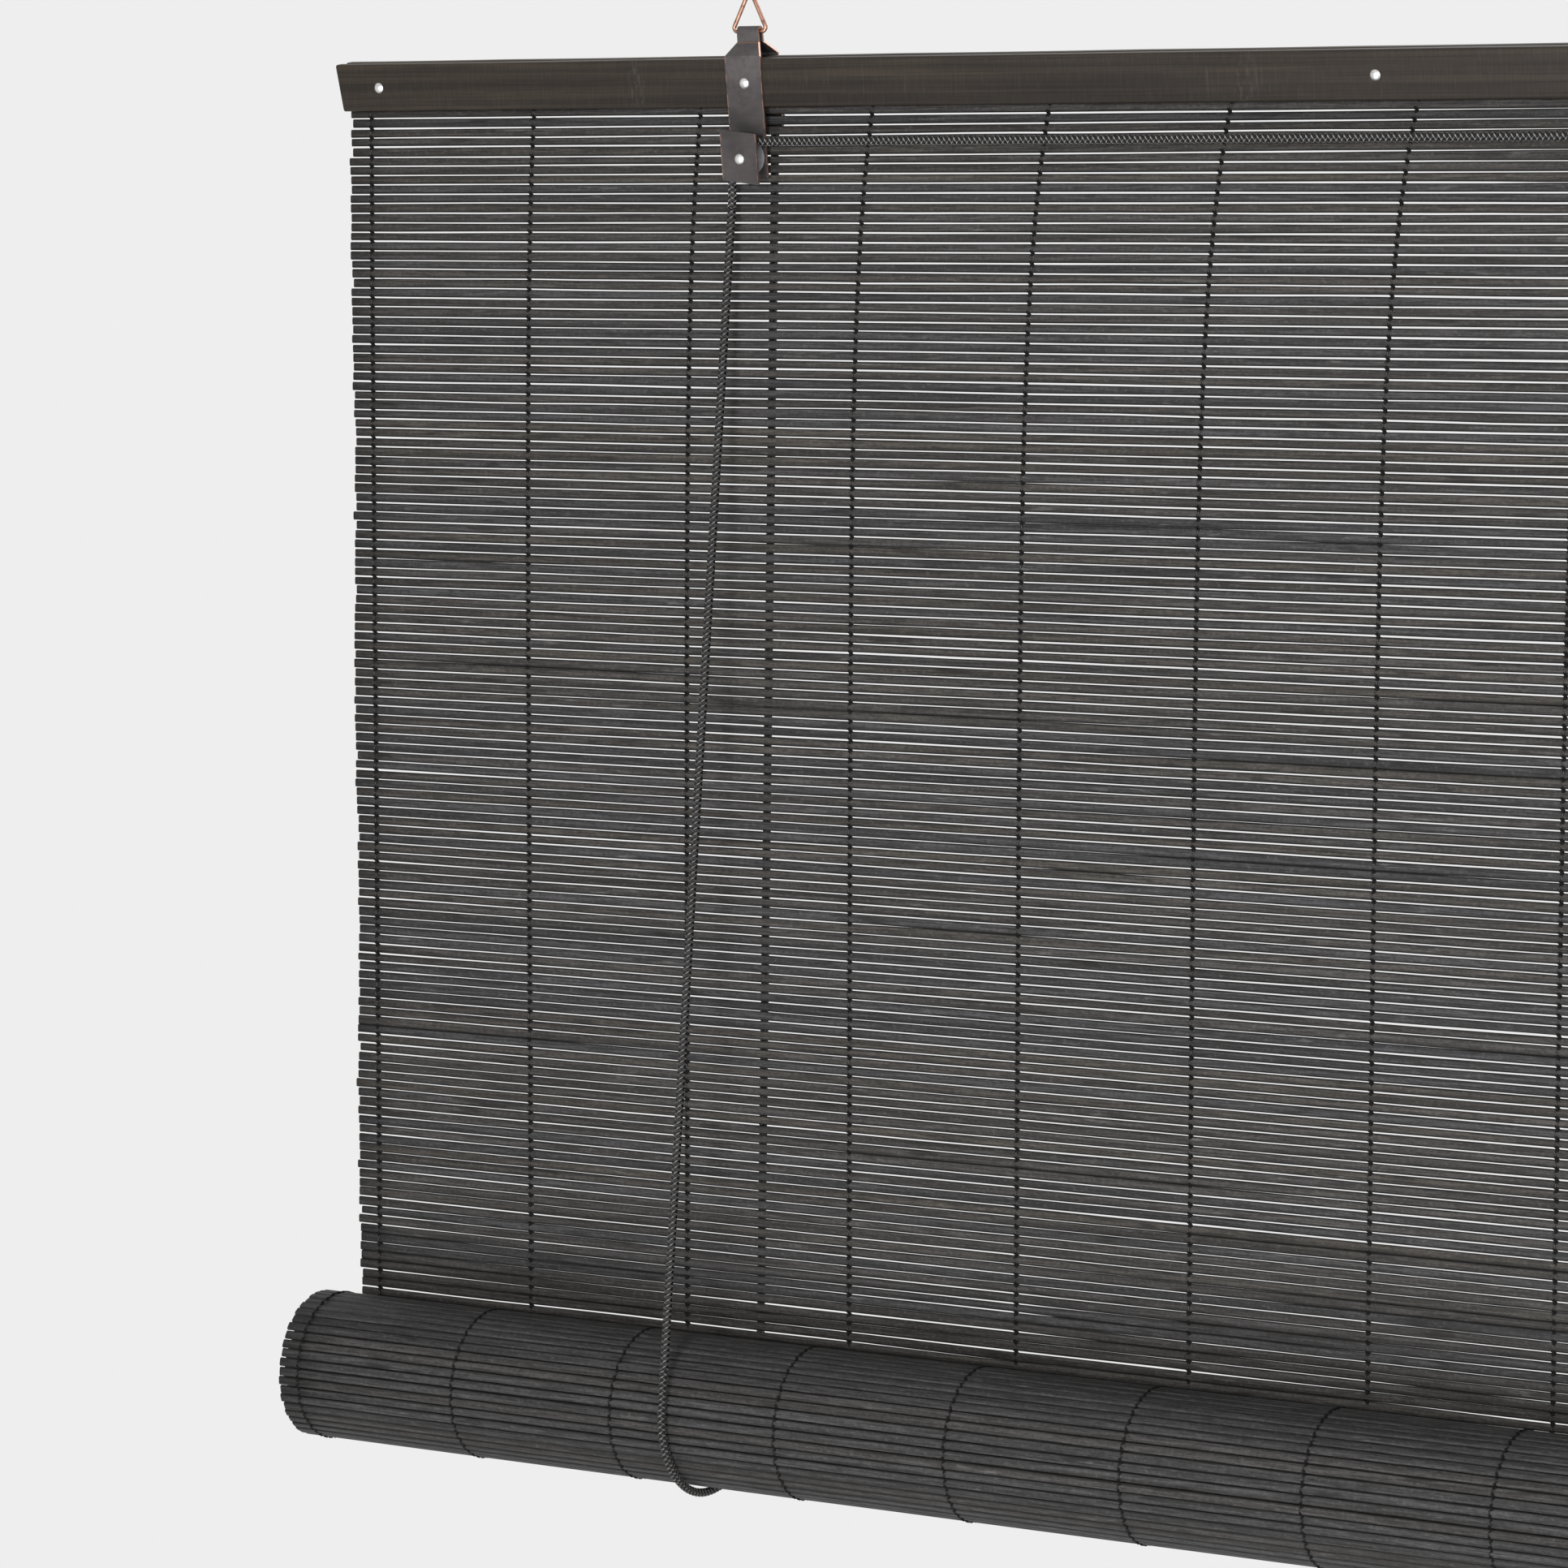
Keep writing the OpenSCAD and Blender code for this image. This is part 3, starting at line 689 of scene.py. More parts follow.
class Bench:
    """Modelling moves that the sub-assemblies share."""

    @staticmethod
    def clear() -> None:
        """Goes to object mode with nothing selected."""
        if bpy.context.mode != "OBJECT":
            bpy.ops.object.mode_set(mode="OBJECT")
        bpy.ops.object.select_all(action="DESELECT")

    @staticmethod
    def pick_edges(test: Callable[[Vector, Vector], bool]) -> None:
        """Selects the edges of the mesh in edit mode whose two ends pass a test."""
        bpy.ops.mesh.select_mode(type="EDGE")
        bpy.ops.mesh.select_all(action="DESELECT")
        held = bpy.context.edit_object.data
        mesh = bmesh.from_edit_mesh(held)
        for edge in mesh.edges:
            if test(edge.verts[0].co, edge.verts[1].co):
                edge.select_set(True)
        bmesh.update_edit_mesh(held)

    @classmethod
    def bar(cls, name: str, size: Point, bevel: float, cuts: int, steps: int = 1) -> bpy.types.Object:
        """Models a bar along X about the origin.

        Args:
            name: The object's name.
            size: Length, depth and height.
            bevel: Width of the bevel on the four long edges.
            cuts: Cuts across the bar, evenly along it.
            steps: Steps of each bevel.

        Returns:
            The bar.
        """
        cls.clear()
        bpy.ops.mesh.primitive_cube_add(size=1)
        bar = bpy.context.object
        bar.name = name
        bpy.ops.object.mode_set(mode="EDIT")
        bpy.ops.mesh.select_all(action="SELECT")
        bpy.ops.transform.resize(value=size)

        def runs_along(a: Vector, b: Vector) -> bool:
            """Says whether an edge runs the whole length."""
            return abs(a.x - b.x) > size[0] / 2

        cls.pick_edges(runs_along)
        bpy.ops.mesh.bevel(offset=bevel, segments=steps, affect="EDGES")
        if cuts:
            cls.pick_edges(runs_along)
            bpy.ops.mesh.subdivide(number_cuts=cuts)
        bpy.ops.mesh.select_all(action="SELECT")
        bpy.ops.mesh.normals_make_consistent(inside=False)
        cls.clear()
        return bar

    @classmethod
    def turned(cls, name: str, profile: Sequence[tuple[float, float]], sides: int) -> bpy.types.Object:
        """Models a turned piece about Z, from its foot up.

        Args:
            name: The object's name.
            profile: Radius and height of each step, the first at the foot.
            sides: Sides of the turning.

        Returns:
            The piece, closed at both ends.
        """
        cls.clear()
        foot_r, foot_z = profile[0]
        bpy.ops.mesh.primitive_circle_add(vertices=sides, radius=foot_r, fill_type="NGON",
                                          location=(0, 0, foot_z))
        piece = bpy.context.object
        piece.name = name
        bpy.ops.object.transform_apply(location=True, rotation=True, scale=True)
        bpy.ops.object.mode_set(mode="EDIT")
        bpy.ops.mesh.select_all(action="SELECT")
        for (r, z), (below_r, below_z) in zip(profile[1:], profile):
            bpy.ops.mesh.extrude_region_move(TRANSFORM_OT_translate={"value": (0, 0, z - below_z)})
            share = r / below_r
            bpy.ops.transform.resize(value=(share, share, 1), center_override=(0, 0, z))
        bpy.ops.mesh.select_all(action="SELECT")
        bpy.ops.mesh.normals_make_consistent(inside=False)
        bpy.ops.object.mode_set(mode="OBJECT")
        bpy.ops.object.shade_smooth_by_angle(angle=math.radians(40))
        cls.clear()
        return piece

    @staticmethod
    def reshape(piece: bpy.types.Object, move: Callable[[np.ndarray], np.ndarray]) -> None:
        """Moves a piece's vertices.

        Args:
            piece: The piece.
            move: Takes the places of all vertices and gives their new places.
        """
        mesh = piece.data
        flat = np.empty(len(mesh.vertices) * 3)
        mesh.vertices.foreach_get("co", flat)
        mesh.vertices.foreach_set("co", move(flat.reshape(-1, 3)).ravel())
        mesh.update()

    @staticmethod
    def gathered(name: str, points: list[np.ndarray], faces: list[tuple[int, ...]], mark: str,
                 colours: np.ndarray, smooth: list[bool]) -> bpy.types.Object:
        """Makes one mesh of many parts, with a colour mark on its vertices.

        Args:
            name: The piece's name.
            points: The vertices of each part.
            faces: All faces, by vertex number.
            mark: The mark's name.
            colours: The mark's four numbers for each vertex.
            smooth: Whether each face is shaded smooth.

        Returns:
            The piece.
        """
        mesh = bpy.data.meshes.new(name)
        mesh.from_pydata(np.concatenate(points).tolist(), [], faces)
        marks = mesh.attributes.new(mark, "FLOAT_COLOR", "POINT")
        marks.data.foreach_set("color", colours.ravel())
        mesh.polygons.foreach_set("use_smooth", smooth)
        mesh.update()
        piece = bpy.data.objects.new(name, mesh)
        bpy.context.scene.collection.objects.link(piece)
        return piece

    @staticmethod
    def seat(piece: bpy.types.Object, body: Body, slot: Slot, material: bpy.types.Material,
             nodes: Sequence[str]) -> None:
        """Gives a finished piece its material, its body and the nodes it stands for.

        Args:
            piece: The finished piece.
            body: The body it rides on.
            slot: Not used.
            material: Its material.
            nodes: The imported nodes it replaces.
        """
        piece.data.materials.clear()
        piece.data.materials.append(material)
        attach(piece, body.value)
        if nodes:
            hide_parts(*nodes)
        triangles = sum(len(face.vertices) - 2 for face in piece.data.polygons)
        log.info("%s rides on %s, %d triangles", piece.name, body.value, triangles)


class Strands:
    """Round strands swept along lines, gathered into one mesh."""

    def __init__(self, sides: int) -> None:
        """Starts with no strand; every strand has that many sides."""
        self.sides = sides
        self.points: list[np.ndarray] = []
        self.faces: list[tuple[int, ...]] = []
        self.maps: list[tuple[float, float]] = []
        self.relief: list[np.ndarray] = []
        self.count = 0

    def add(self, line: np.ndarray, radius: np.ndarray, side: np.ndarray, flat: float = 1.0,
            relief: np.ndarray | None = None) -> None:
        """Sweeps one strand.

        Args:
            line: The middle line's points.
            radius: A radius for each point, or for each side at each point.
            side: A direction that the strand's first side keeps to.
            flat: Width of the strand across that direction, as a share of its radius.
            relief: A number from 0 to 1 for each side at each point, kept on the mesh.
        """
        n, s = len(line), self.sides
        tangent = np.gradient(line, axis=0)
        tangent /= np.linalg.norm(tangent, axis=1, keepdims=True)
        first = side - (tangent @ side)[:, None] * tangent
        first /= np.linalg.norm(first, axis=1, keepdims=True)
        second = np.cross(tangent, first) * flat
        turn = np.arange(s) * 2 * math.pi / s
        spokes = (np.cos(turn)[None, :, None] * first[:, None, :]
                  + np.sin(turn)[None, :, None] * second[:, None, :])
        reach = radius if radius.ndim == 2 else np.repeat(radius[:, None], s, axis=1)
        self.points.append((line[:, None, :] + reach[:, :, None] * spokes).reshape(-1, 3))
        self.relief.append((np.ones((n, s)) if relief is None else relief).ravel())
        steps = np.linalg.norm(np.diff(line, axis=0), axis=1)
        along = np.concatenate([[0.0], np.cumsum(steps)])
        for i in range(n - 1):
            for k in range(s):
                low, high = self.count + i * s, self.count + (i + 1) * s
                after = (k + 1) % s
                self.faces.append((low + k, low + after, high + after, high + k))
                self.maps += [(along[i], k / s), (along[i], (k + 1) / s),
                              (along[i + 1], (k + 1) / s), (along[i + 1], k / s)]
        last = self.count + (n - 1) * s
        self.faces.append(tuple(self.count + k for k in range(s - 1, -1, -1)))
        self.faces.append(tuple(last + k for k in range(s)))
        self.maps += [(0.0, 0.0)] * s + [(along[-1], 0.0)] * s
        self.count += n * s

    def piece(self, name: str) -> bpy.types.Object:
        """Makes the mesh of all strands.

        Args:
            name: The piece's name.

        Returns:
            The piece, with its map along the strands and their relief.
        """
        height = np.concatenate(self.relief)
        colours = np.column_stack([height] * 3 + [np.ones_like(height)])
        smooth = [True] * len(self.faces)
        piece = Bench.gathered(name, self.points, self.faces, "relief", colours, smooth)
        layer = piece.data.uv_layers.new(name="strand")
        layer.data.foreach_set("uv", np.array(self.maps, float).ravel())
        return piece


class SlatStack:
    """Copies of one modelled slat, each shaped by itself, in one mesh."""

    edge_r: float = 0.0007
    edge_steps: int = 2
    mean_tone: float = 0.42
    tone_spread: float = 0.26

    def __init__(self, cuts: int, edge_shade: float = 1.0, warmest: float = 1.0) -> None:
        """Models the slat that is copied.

        Args:
            cuts: Cuts across the slat.
            edge_shade: How far the painted shade along the slats' edges is spread, 1 for all of it.
            warmest: Warmth of the warmest slat.
        """
        self.edge_shade = edge_shade
        self.warmest = warmest
        size = (SIZES.blind_w, SIZES.slat_t, SIZES.slat_h)
        model = Bench.bar("slat model", size, self.edge_r, cuts, self.edge_steps)
        self.base = np.array([vertex.co for vertex in model.data.vertices])
        self.faces = [tuple(face.vertices) for face in model.data.polygons]
        self.smooth = [abs(face.normal.x) < 0.5 for face in model.data.polygons]
        bpy.data.objects.remove(model)
        self.points: list[np.ndarray] = []
        self.marks: list[tuple[float, float, float]] = []

    def add(self, place: Callable[[np.ndarray], np.ndarray], draw: np.random.Generator) -> None:
        """Adds one slat.

        Args:
            place: Takes the model's vertices and gives the slat's.
            draw: The source of the slat's own tone, warmth and grain.
        """
        self.points.append(place(self.base))
        tone = float(np.clip(draw.normal(self.mean_tone, self.tone_spread), 0, 1))
        self.marks.append((tone, self.warmest * float(draw.random()), float(draw.random())))

    def piece(self, name: str) -> bpy.types.Object:
        """Makes the mesh of all slats, with each slat's tone on its vertices."""
        size, count = len(self.base), len(self.points)
        faces = [tuple(v + i * size for v in face) for i in range(count) for face in self.faces]
        rows = np.repeat(np.array(self.marks), size, axis=0)
        # The fourth number places each vertex across its slat, for the painted shade along the edges.
        level = np.tile(self.edge_shade * self.base[:, 2] / SIZES.slat_h + 0.5, count)
        colours = np.column_stack([rows, level])
        return Bench.gathered(name, self.points, faces, "slat", colours, self.smooth * count)


class Thread:
    """One of the two threads of a warp string, gathered stitch by stitch."""

    sides: int = 5
    flat: float = 0.8
    stand_off: float = 0.6

    def __init__(self) -> None:
        """Starts with no stitch."""
        self.points: list[tuple[float, float, float]] = []
        self.radii: list[float] = []
        self.laid: list[float] = []

    def add(self, first: Point, second: Point, radius: float, laid: float) -> None:
        """Adds two points of one radius, and how plainly the thread lies on a slat there; 0 gives the
        twine's painted shade.
        """
        self.points += [tuple(first), tuple(second)]
        self.radii += [radius] * 2
        self.laid += [laid] * 2

    @staticmethod
    def sways(k: int) -> tuple[float, float]:
        """Gives where a thread starts and ends on a slat, as shares of its sway."""
        return (-1.0, -0.9) if k % 2 else (0.6, -0.4)

    def sweep(self, strands: Strands) -> None:
        """Sweeps the thread into a mesh of strands."""
        laid = np.repeat(np.array(self.laid, float)[:, None], self.sides, axis=1)
        strands.add(np.array(self.points), np.array(self.radii), ACROSS, self.flat, laid)


def waves(draw: np.random.Generator, at: np.ndarray, sizes: Waves) -> np.ndarray:
    """Adds up waves along a slat.

    Args:
        draw: The source of their phases.
        at: Places along the slat.
        sizes: Wavelength and height of each wave.

    Returns:
        The sum at each place.
    """
    total = np.zeros_like(at)
    for length, height in sizes:
        stretch = length * draw.uniform(0.7, 1.4)
        total += height * draw.normal(0, 0.7) * np.sin(2 * math.pi * (at / stretch + draw.random()))
    return total


@dataclass
class HungMat:
    """The hanging mat: slats with uneven gaps, and twine round them."""

    cuts: int = 41
    gap: float = 0.00068
    narrowing: float = 0.24
    widening: float = 0.5
    closed_gap: float = 0.00014
    least_gap: float = 0.00004
    end_spread: float = 0.0004
    thread_r: float = 0.00036
    knot_r: float = 0.00082
    knot_reach: float = 0.0006
    knot_depth: float = 0.00116
    knot_slope: float = 0.0003
    face_inset: float = 0.00115
    sway: float = 0.0007
    slant: float = 0.016
    slant_reach: float = 0.07
    seed: int = 41
    clamped: int = 4
    thinnest: float = 0.82
    closing_lead: int = 10
    closing_rows: int = 14
    pinch: float = 0.0008
    pinch_chance: float = 0.18
    slit_opening: float = 0.024
    slits_each: int = 3
    wobbles: Waves = ((1.1, 0.0002), (0.45, 0.00014), (0.17, 0.0001), (0.07, 0.00004))
    bows: Waves = ((0.9, 0.00016), (0.25, 0.00008))
    drifts: Waves = ((60, 0.0008), (19, 0.0006), (7, 0.0004))
    swells: Waves = ((0.8, 0.00014), (0.3, 0.0001), (0.09, 0.00006))
    slats: int = field(init=False)
    stations: np.ndarray = field(init=False)
    lines: np.ndarray = field(init=False)
    gaps: np.ndarray = field(init=False)
    depths: np.ndarray = field(init=False)
    thicks: np.ndarray = field(init=False)
    ends: np.ndarray = field(init=False)

    def __post_init__(self) -> None:
        """Draws the middle line and the width of every gap."""
        draw = np.random.default_rng(self.seed)
        self.stations = np.linspace(-SIZES.blind_w / 2, SIZES.blind_w / 2, self.cuts + 2)
        self.slats = int(SIZES.mat_drop / SIZES.slat_pitch + 0.01)
        top = float(SIZES.mat_exit[2])
        lines, gaps = [], []
        for k in range(self.slats + 1):
            wobble = waves(draw, self.stations, self.wobbles)
            inside = 0.0 if k in (0, self.slats) else 1.0
            lines.append(top - k * SIZES.slat_pitch + inside * wobble)
            gaps.append(self.width_of(k, draw))
        self.lines = np.array(lines)
        self.gaps = np.array(gaps)
        self.depths = np.array([waves(draw, self.stations, self.bows) for _ in range(self.slats)])
        self.thicks = draw.uniform(self.thinnest, 1.0, self.slats)
        rows = np.arange(self.slats, dtype=float)
        drifts = [waves(draw, rows, self.drifts) for _ in range(2)]
        self.ends = np.column_stack(drifts) + draw.normal(0, self.end_spread, (self.slats, 2))

    def width_of(self, k: int, draw: np.random.Generator) -> np.ndarray:
        """Gives the width of a gap along the mat.

        Args:
            k: The gap's number from the rail down.
            draw: The source of its unevenness.

        Returns:
            The width at each station.
        """
        x = self.stations
        closing = np.clip((k - SIZES.open_gaps + self.closing_lead) / self.closing_rows, 0, 1)
        open_gap = self.gap * (1 - self.narrowing * k / self.slats)
        width = open_gap + (self.closed_gap - open_gap) * closing + np.zeros_like(x)
        width += waves(draw, x, self.swells)
        width += closing * self.slits(draw)
        chances = draw.random(3)
        spots = draw.uniform(-0.5, 0.5, 3)
        spreads = draw.uniform(0.03, 0.14, 3)
        if chances[0] < self.pinch_chance:
            width -= self.pinch * np.exp(-((x - spots[0]) / spreads[0]) ** 2)
        if chances[1] < 0.22 + 0.4 * closing:
            width += (0.0003 + 0.0002 * closing) * np.exp(-((x - spots[1]) / spreads[1]) ** 2)
        if chances[2] < 0.2 + 0.45 * closing:
            width += (0.0004 + 0.0003 * closing) * np.exp(-((np.abs(x) - 0.5) / 0.05) ** 2)
        upper_right = np.clip((x + 0.02) / 0.1, 0, 1) * np.clip((9 - k) / 4, 0, 1)
        width *= 1 + self.widening * x
        return np.maximum(width * (1 - 0.8 * upper_right), self.least_gap)

    def slits(self, draw: np.random.Generator) -> np.ndarray:
        """Gives wedge-shaped slits that start at a string, where slats nearly touch.

        Args:
            draw: The source of their places and sizes.

        Returns:
            Their width at each station.
        """
        places = SIZES.string_places()
        total = np.zeros_like(self.stations)
        for _ in range(self.slits_each):
            way = draw.choice((-1, 1))
            from_start = (self.stations - places[draw.integers(len(places))]) * way
            taper = 1 - from_start / draw.uniform(0.08, 0.3)
            opening = 1 + from_start / self.slit_opening
            wedge = np.clip(np.minimum(taper, opening), 0, 1)
            total = np.maximum(total, draw.uniform(0.0002, 0.0007) * wedge)
        return total

    def slat_place(self, i: int) -> Callable[[np.ndarray], np.ndarray]:
        """Gives the move that shapes the model into one hanging slat.

        Args:
            i: The slat's number from the rail down.

        Returns:
            A move for SlatStack.add.
        """
        upper = self.lines[i] - self.gaps[i] / 2
        lower = self.lines[i + 1] + self.gaps[i + 1] / 2
        depth, thick, ends = self.depths[i], self.thicks[i], self.ends[i]
        mat_y = float(SIZES.mat_exit[1])

        def move(base: np.ndarray) -> np.ndarray:
            """Shapes the slat between its two gaps."""
            x, y, z = base.T
            share = x / SIZES.blind_w + 0.5
            middle = np.interp(x, self.stations, (upper + lower) / 2)
            half = np.interp(x, self.stations, (upper - lower) / 2)
            return np.column_stack([
                x + ends[0] * (1 - share) + ends[1] * share,
                mat_y + y * thick + np.interp(x, self.stations, depth),
                middle + z + np.sign(z) * (half - SIZES.slat_h / 2),
            ])

        return move

    def build_slats(self, finish: bpy.types.Material) -> None:
        """Builds the hanging slats and the few that are clamped in the rail."""
        draw = np.random.default_rng(self.seed + 1)
        stack = SlatStack(self.cuts)
        for i in range(self.slats):
            stack.add(self.slat_place(i), draw)
        hung = stack.piece("mat_slats")
        Bench.seat(hung, Body.HEAD, Slot.BAMBOO, finish, ["slat_mat"])
        self.fold(hung)
        clamped = SlatStack(1)
        for i in range(self.clamped):
            low = SIZES.leaned(0, 0, SIZES.rail_bottom + (i + 0.5) * SIZES.slat_pitch)
            clamped.add(
                lambda base, low=low: low + base[:, :1] * ACROSS
                + base[:, 1:2] * SIZES.head_back - base[:, 2:] * SIZES.head_down, draw)
        Bench.seat(clamped.piece("clamped_slats"), Body.HEAD, Slot.BAMBOO, finish, ["slat_mat"])

    def thread(self, x: float, odd: int) -> Thread:
        """Gives one of the two threads of a warp string.

        Args:
            x: The string's place along the slats.
            odd: 0 or 1, for the thread that starts on the face or on the back.

        Returns:
            The thread.
        """
        mat_y = float(SIZES.mat_exit[1])
        drawn = self.slant * (1 - ((x - 0.08) / 0.58) ** 2)
        thread = Thread()
        for k in range(self.slats + 1):
            at = x + drawn * math.exp(-k * SIZES.slat_pitch / self.slant_reach)
            middle = float(np.interp(at, self.stations, self.lines[k]))
            half = float(np.interp(at, self.stations, self.gaps[k])) / 2
            face = 1 if (k + odd) % 2 else -1
            reach = half + self.knot_reach
            # Knot in the gap: relief 0, for the twine's painted shade.
            thread.add((at - self.knot_slope, mat_y - face * self.knot_depth, middle + reach),
                       (at + self.knot_slope, mat_y + face * self.knot_depth, middle - reach),
                       self.knot_r, 0)
            if k == self.slats:
                break
            low = float(np.interp(at, self.stations, self.lines[k + 1]))
            low += float(np.interp(at, self.stations, self.gaps[k + 1])) / 2
            y = mat_y + float(np.interp(at, self.stations, self.depths[k]))
            y += face * (self.thicks[k] * SIZES.slat_t / 2 + self.thread_r * Thread.stand_off)
            start, end = Thread.sways(k)
            thread.add((at + start * self.sway, y, middle - half - self.face_inset),
                       (at + end * self.sway, y, low + self.face_inset), self.thread_r, 1)
        return thread

    def build_twine(self, finish: bpy.types.Material) -> None:
        """Builds the warp strings of the hanging mat."""
        strands = Strands(Thread.sides)
        for x in SIZES.string_places():
            for odd in (0, 1):
                self.thread(float(x), odd).sweep(strands)
        twine = strands.piece("mat_twine")
        Bench.seat(twine, Body.HEAD, Slot.TWINE, finish, ["mat_strings"])
        self.fold(twine)

    @staticmethod
    def fold(piece: bpy.types.Object) -> None:
        """Gives a piece of the mat a mesh of its own."""
        tuple(SIZES.mat_exit)
        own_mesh(piece)


@dataclass
class RolledMat:
    """The wound part of the mat: an outer turn of slats, inner turns and a tail."""

    cuts: int = 29
    # Spread of the painted shade along the edges of the roll's slats.
    edge_shade: float = 0.74
    warmest: float = 0.45
    # How plainly the roll's face threads show their own colour: 0.8 mixes in about half of the knots'
    # painted shade.
    wear_and_painted_light: float = 0.8
    gap: float = 0.0003
    inner_least: float = 0.0124
    thread_r: float = 0.00034
    knot_r: float = 0.00066
    knot_reach: float = 0.0007
    knot_slope: float = 0.0004
    sway: float = 0.0007
    end_spread: float = 0.0003
    height_spread: float = 0.00008
    inner_height_spread: float = 0.00015
    sink: float = -0.00004
    sink_spread: float = 0.00007
    outer_thick: float = 0.95
    tail_thick: float = 0.92
    bow_points: int = 9
    rises: Waves = ((0.5, 0.00010), (0.2, 0.00006))
    drifts: Waves = ((0.9, 0.00008), (0.3, 0.00005))
    face_from: float = 0.36
    face_to: float = 0.64
    seed: int = 77

    def round_place(self, angle: float, r: float, height: float, thick: float,
                    draw: np.random.Generator) -> Callable[[np.ndarray], np.ndarray]:
        """Gives the move that lays the model on the roll.

        Args:
            angle: Angle round the roll in radians.
            r: Radius of the slat's middle.
            height: Height of the slat.
            thick: Thickness of the slat.
            draw: The source of its uneven ends.

        Returns:
            A move for SlatStack.add.
        """
        ends = draw.normal(0, self.end_spread, 2)
        bow = np.linspace(-SIZES.blind_w / 2, SIZES.blind_w / 2, self.bow_points)
        rise = waves(draw, bow, self.rises)
        drift = waves(draw, bow, self.drifts)
        y, z = SIZES.round_roll(r, angle)
        outward = np.array([0, math.cos(angle), -math.sin(angle)])
        upward = np.array([0, math.sin(angle), math.cos(angle)])

        def move(base: np.ndarray) -> np.ndarray:
            """Lays the slat across the roll."""
            share = base[:, 0] / SIZES.blind_w + 0.5
            x = base[:, 0] + ends[0] * (1 - share) + ends[1] * share
            out = base[:, 1] * thick / SIZES.slat_t + np.interp(base[:, 0], bow, rise)
            up = base[:, 2] * height / SIZES.slat_h + np.interp(base[:, 0], bow, drift)
            return np.array([0, y, z]) + x[:, None] * ACROSS + out[:, None] * outward + up[:, None] * upward

        return move

    def build_slats(self, finish: bpy.types.Material) -> None:
        """Builds the outer turn, the inner turns and the tail under the roll's back."""
        draw = np.random.default_rng(self.seed)
        outer_r = SIZES.roll_r - SIZES.slat_t / 2
        step = 2 * math.pi / SIZES.roll_slats
        outer = SlatStack(self.cuts, self.edge_shade, self.warmest)
        for i in range(SIZES.roll_slats):
            height = outer_r * step - self.gap - draw.normal(0, self.height_spread)
            r = outer_r + draw.normal(self.sink, self.sink_spread)
            thick = SIZES.slat_t * self.outer_thick
            outer.add(self.round_place((i + 0.5) * step, r, height, thick, draw), draw)
        Bench.seat(outer.piece("roll_slats"), Body.ROLL, Slot.BAMBOO, finish, ["slat_roll"])
        inner = SlatStack(0)
        angle, r = 0.0, outer_r - SIZES.turn_t
        while r > self.inner_least:
            height = SIZES.slat_pitch - self.gap - abs(draw.normal(0, self.inner_height_spread))
            inner.add(self.round_place(angle, r, height, SIZES.slat_t, draw), draw)
            turn = SIZES.slat_pitch / r
            angle += turn
            r -= SIZES.turn_t * turn / (2 * math.pi)
        Bench.seat(inner.piece("roll_inner_slats"), Body.ROLL, Slot.BAMBOO, finish, ["slat_roll"])
        tail = SlatStack(self.cuts)
        count = int(SIZES.tail_angle * SIZES.tail_r / SIZES.slat_pitch)
        tail_step = SIZES.tail_angle / count
        for i in range(count):
            height = tail_step * SIZES.tail_r - self.gap
            thick = SIZES.slat_t * self.tail_thick
            laid = self.round_place((i + 0.5) * tail_step, SIZES.tail_r, height, thick, draw)
            tail.add(laid, draw)
        Bench.seat(tail.piece("tail_slats"), Body.LIFT, Slot.BAMBOO, finish, ["mat_tail"])

    def thread(self, x: float, odd: int, r: float, step: float, count: int) -> Thread:
        """Gives one of the two threads of a string on a curved stretch.

        Args:
            x: The string's place along the slats.
            odd: 0 or 1, for the thread that starts outside or inside.
            r: Radius of the slats' middle.
            step: Angle from slat to slat.
            count: Slats on the stretch.

        Returns:
            The thread.
        """
        out = SIZES.slat_t / 2 + self.thread_r * Thread.stand_off
        reach = (self.gap / 2 + self.knot_reach) / r
        thread = Thread()
        for k in range(count + 1):
            rise = out * (1 if (k + odd) % 2 else -1)
            thread.add((x + self.knot_slope, *SIZES.round_roll(r - rise, k * step - reach)),
                       (x - self.knot_slope, *SIZES.round_roll(r + rise, k * step + reach)),
                       self.knot_r, 0)
            if k == count:
                break
            start, end = Thread.sways(k)
            first = SIZES.round_roll(r + rise, (k + self.face_from) * step)
            last = SIZES.round_roll(r + rise, (k + self.face_to) * step)
            thread.add((x + start * self.sway, *first), (x + end * self.sway, *last),
                       self.thread_r, self.wear_and_painted_light)
        return thread

    def build_twine(self, finish: bpy.types.Material) -> None:
        """Builds the strings of the outer turn and of the tail."""
        outer_r = SIZES.roll_r - SIZES.slat_t / 2
        count = int(SIZES.tail_angle * SIZES.tail_r / SIZES.slat_pitch)
        stretches = (
            ("roll", Body.ROLL, outer_r, 2 * math.pi, SIZES.roll_slats),
            ("tail", Body.LIFT, SIZES.tail_r, SIZES.tail_angle, count),
        )
        for word, body, r, sweep, slats in stretches:
            strands = Strands(Thread.sides)
            for x in SIZES.string_places():
                for odd in (0, 1):
                    self.thread(float(x), odd, r, sweep / slats, slats).sweep(strands)
            Bench.seat(strands.piece(f"{word}_twine"), body, Slot.TWINE, finish, [f"{word}_strings"])


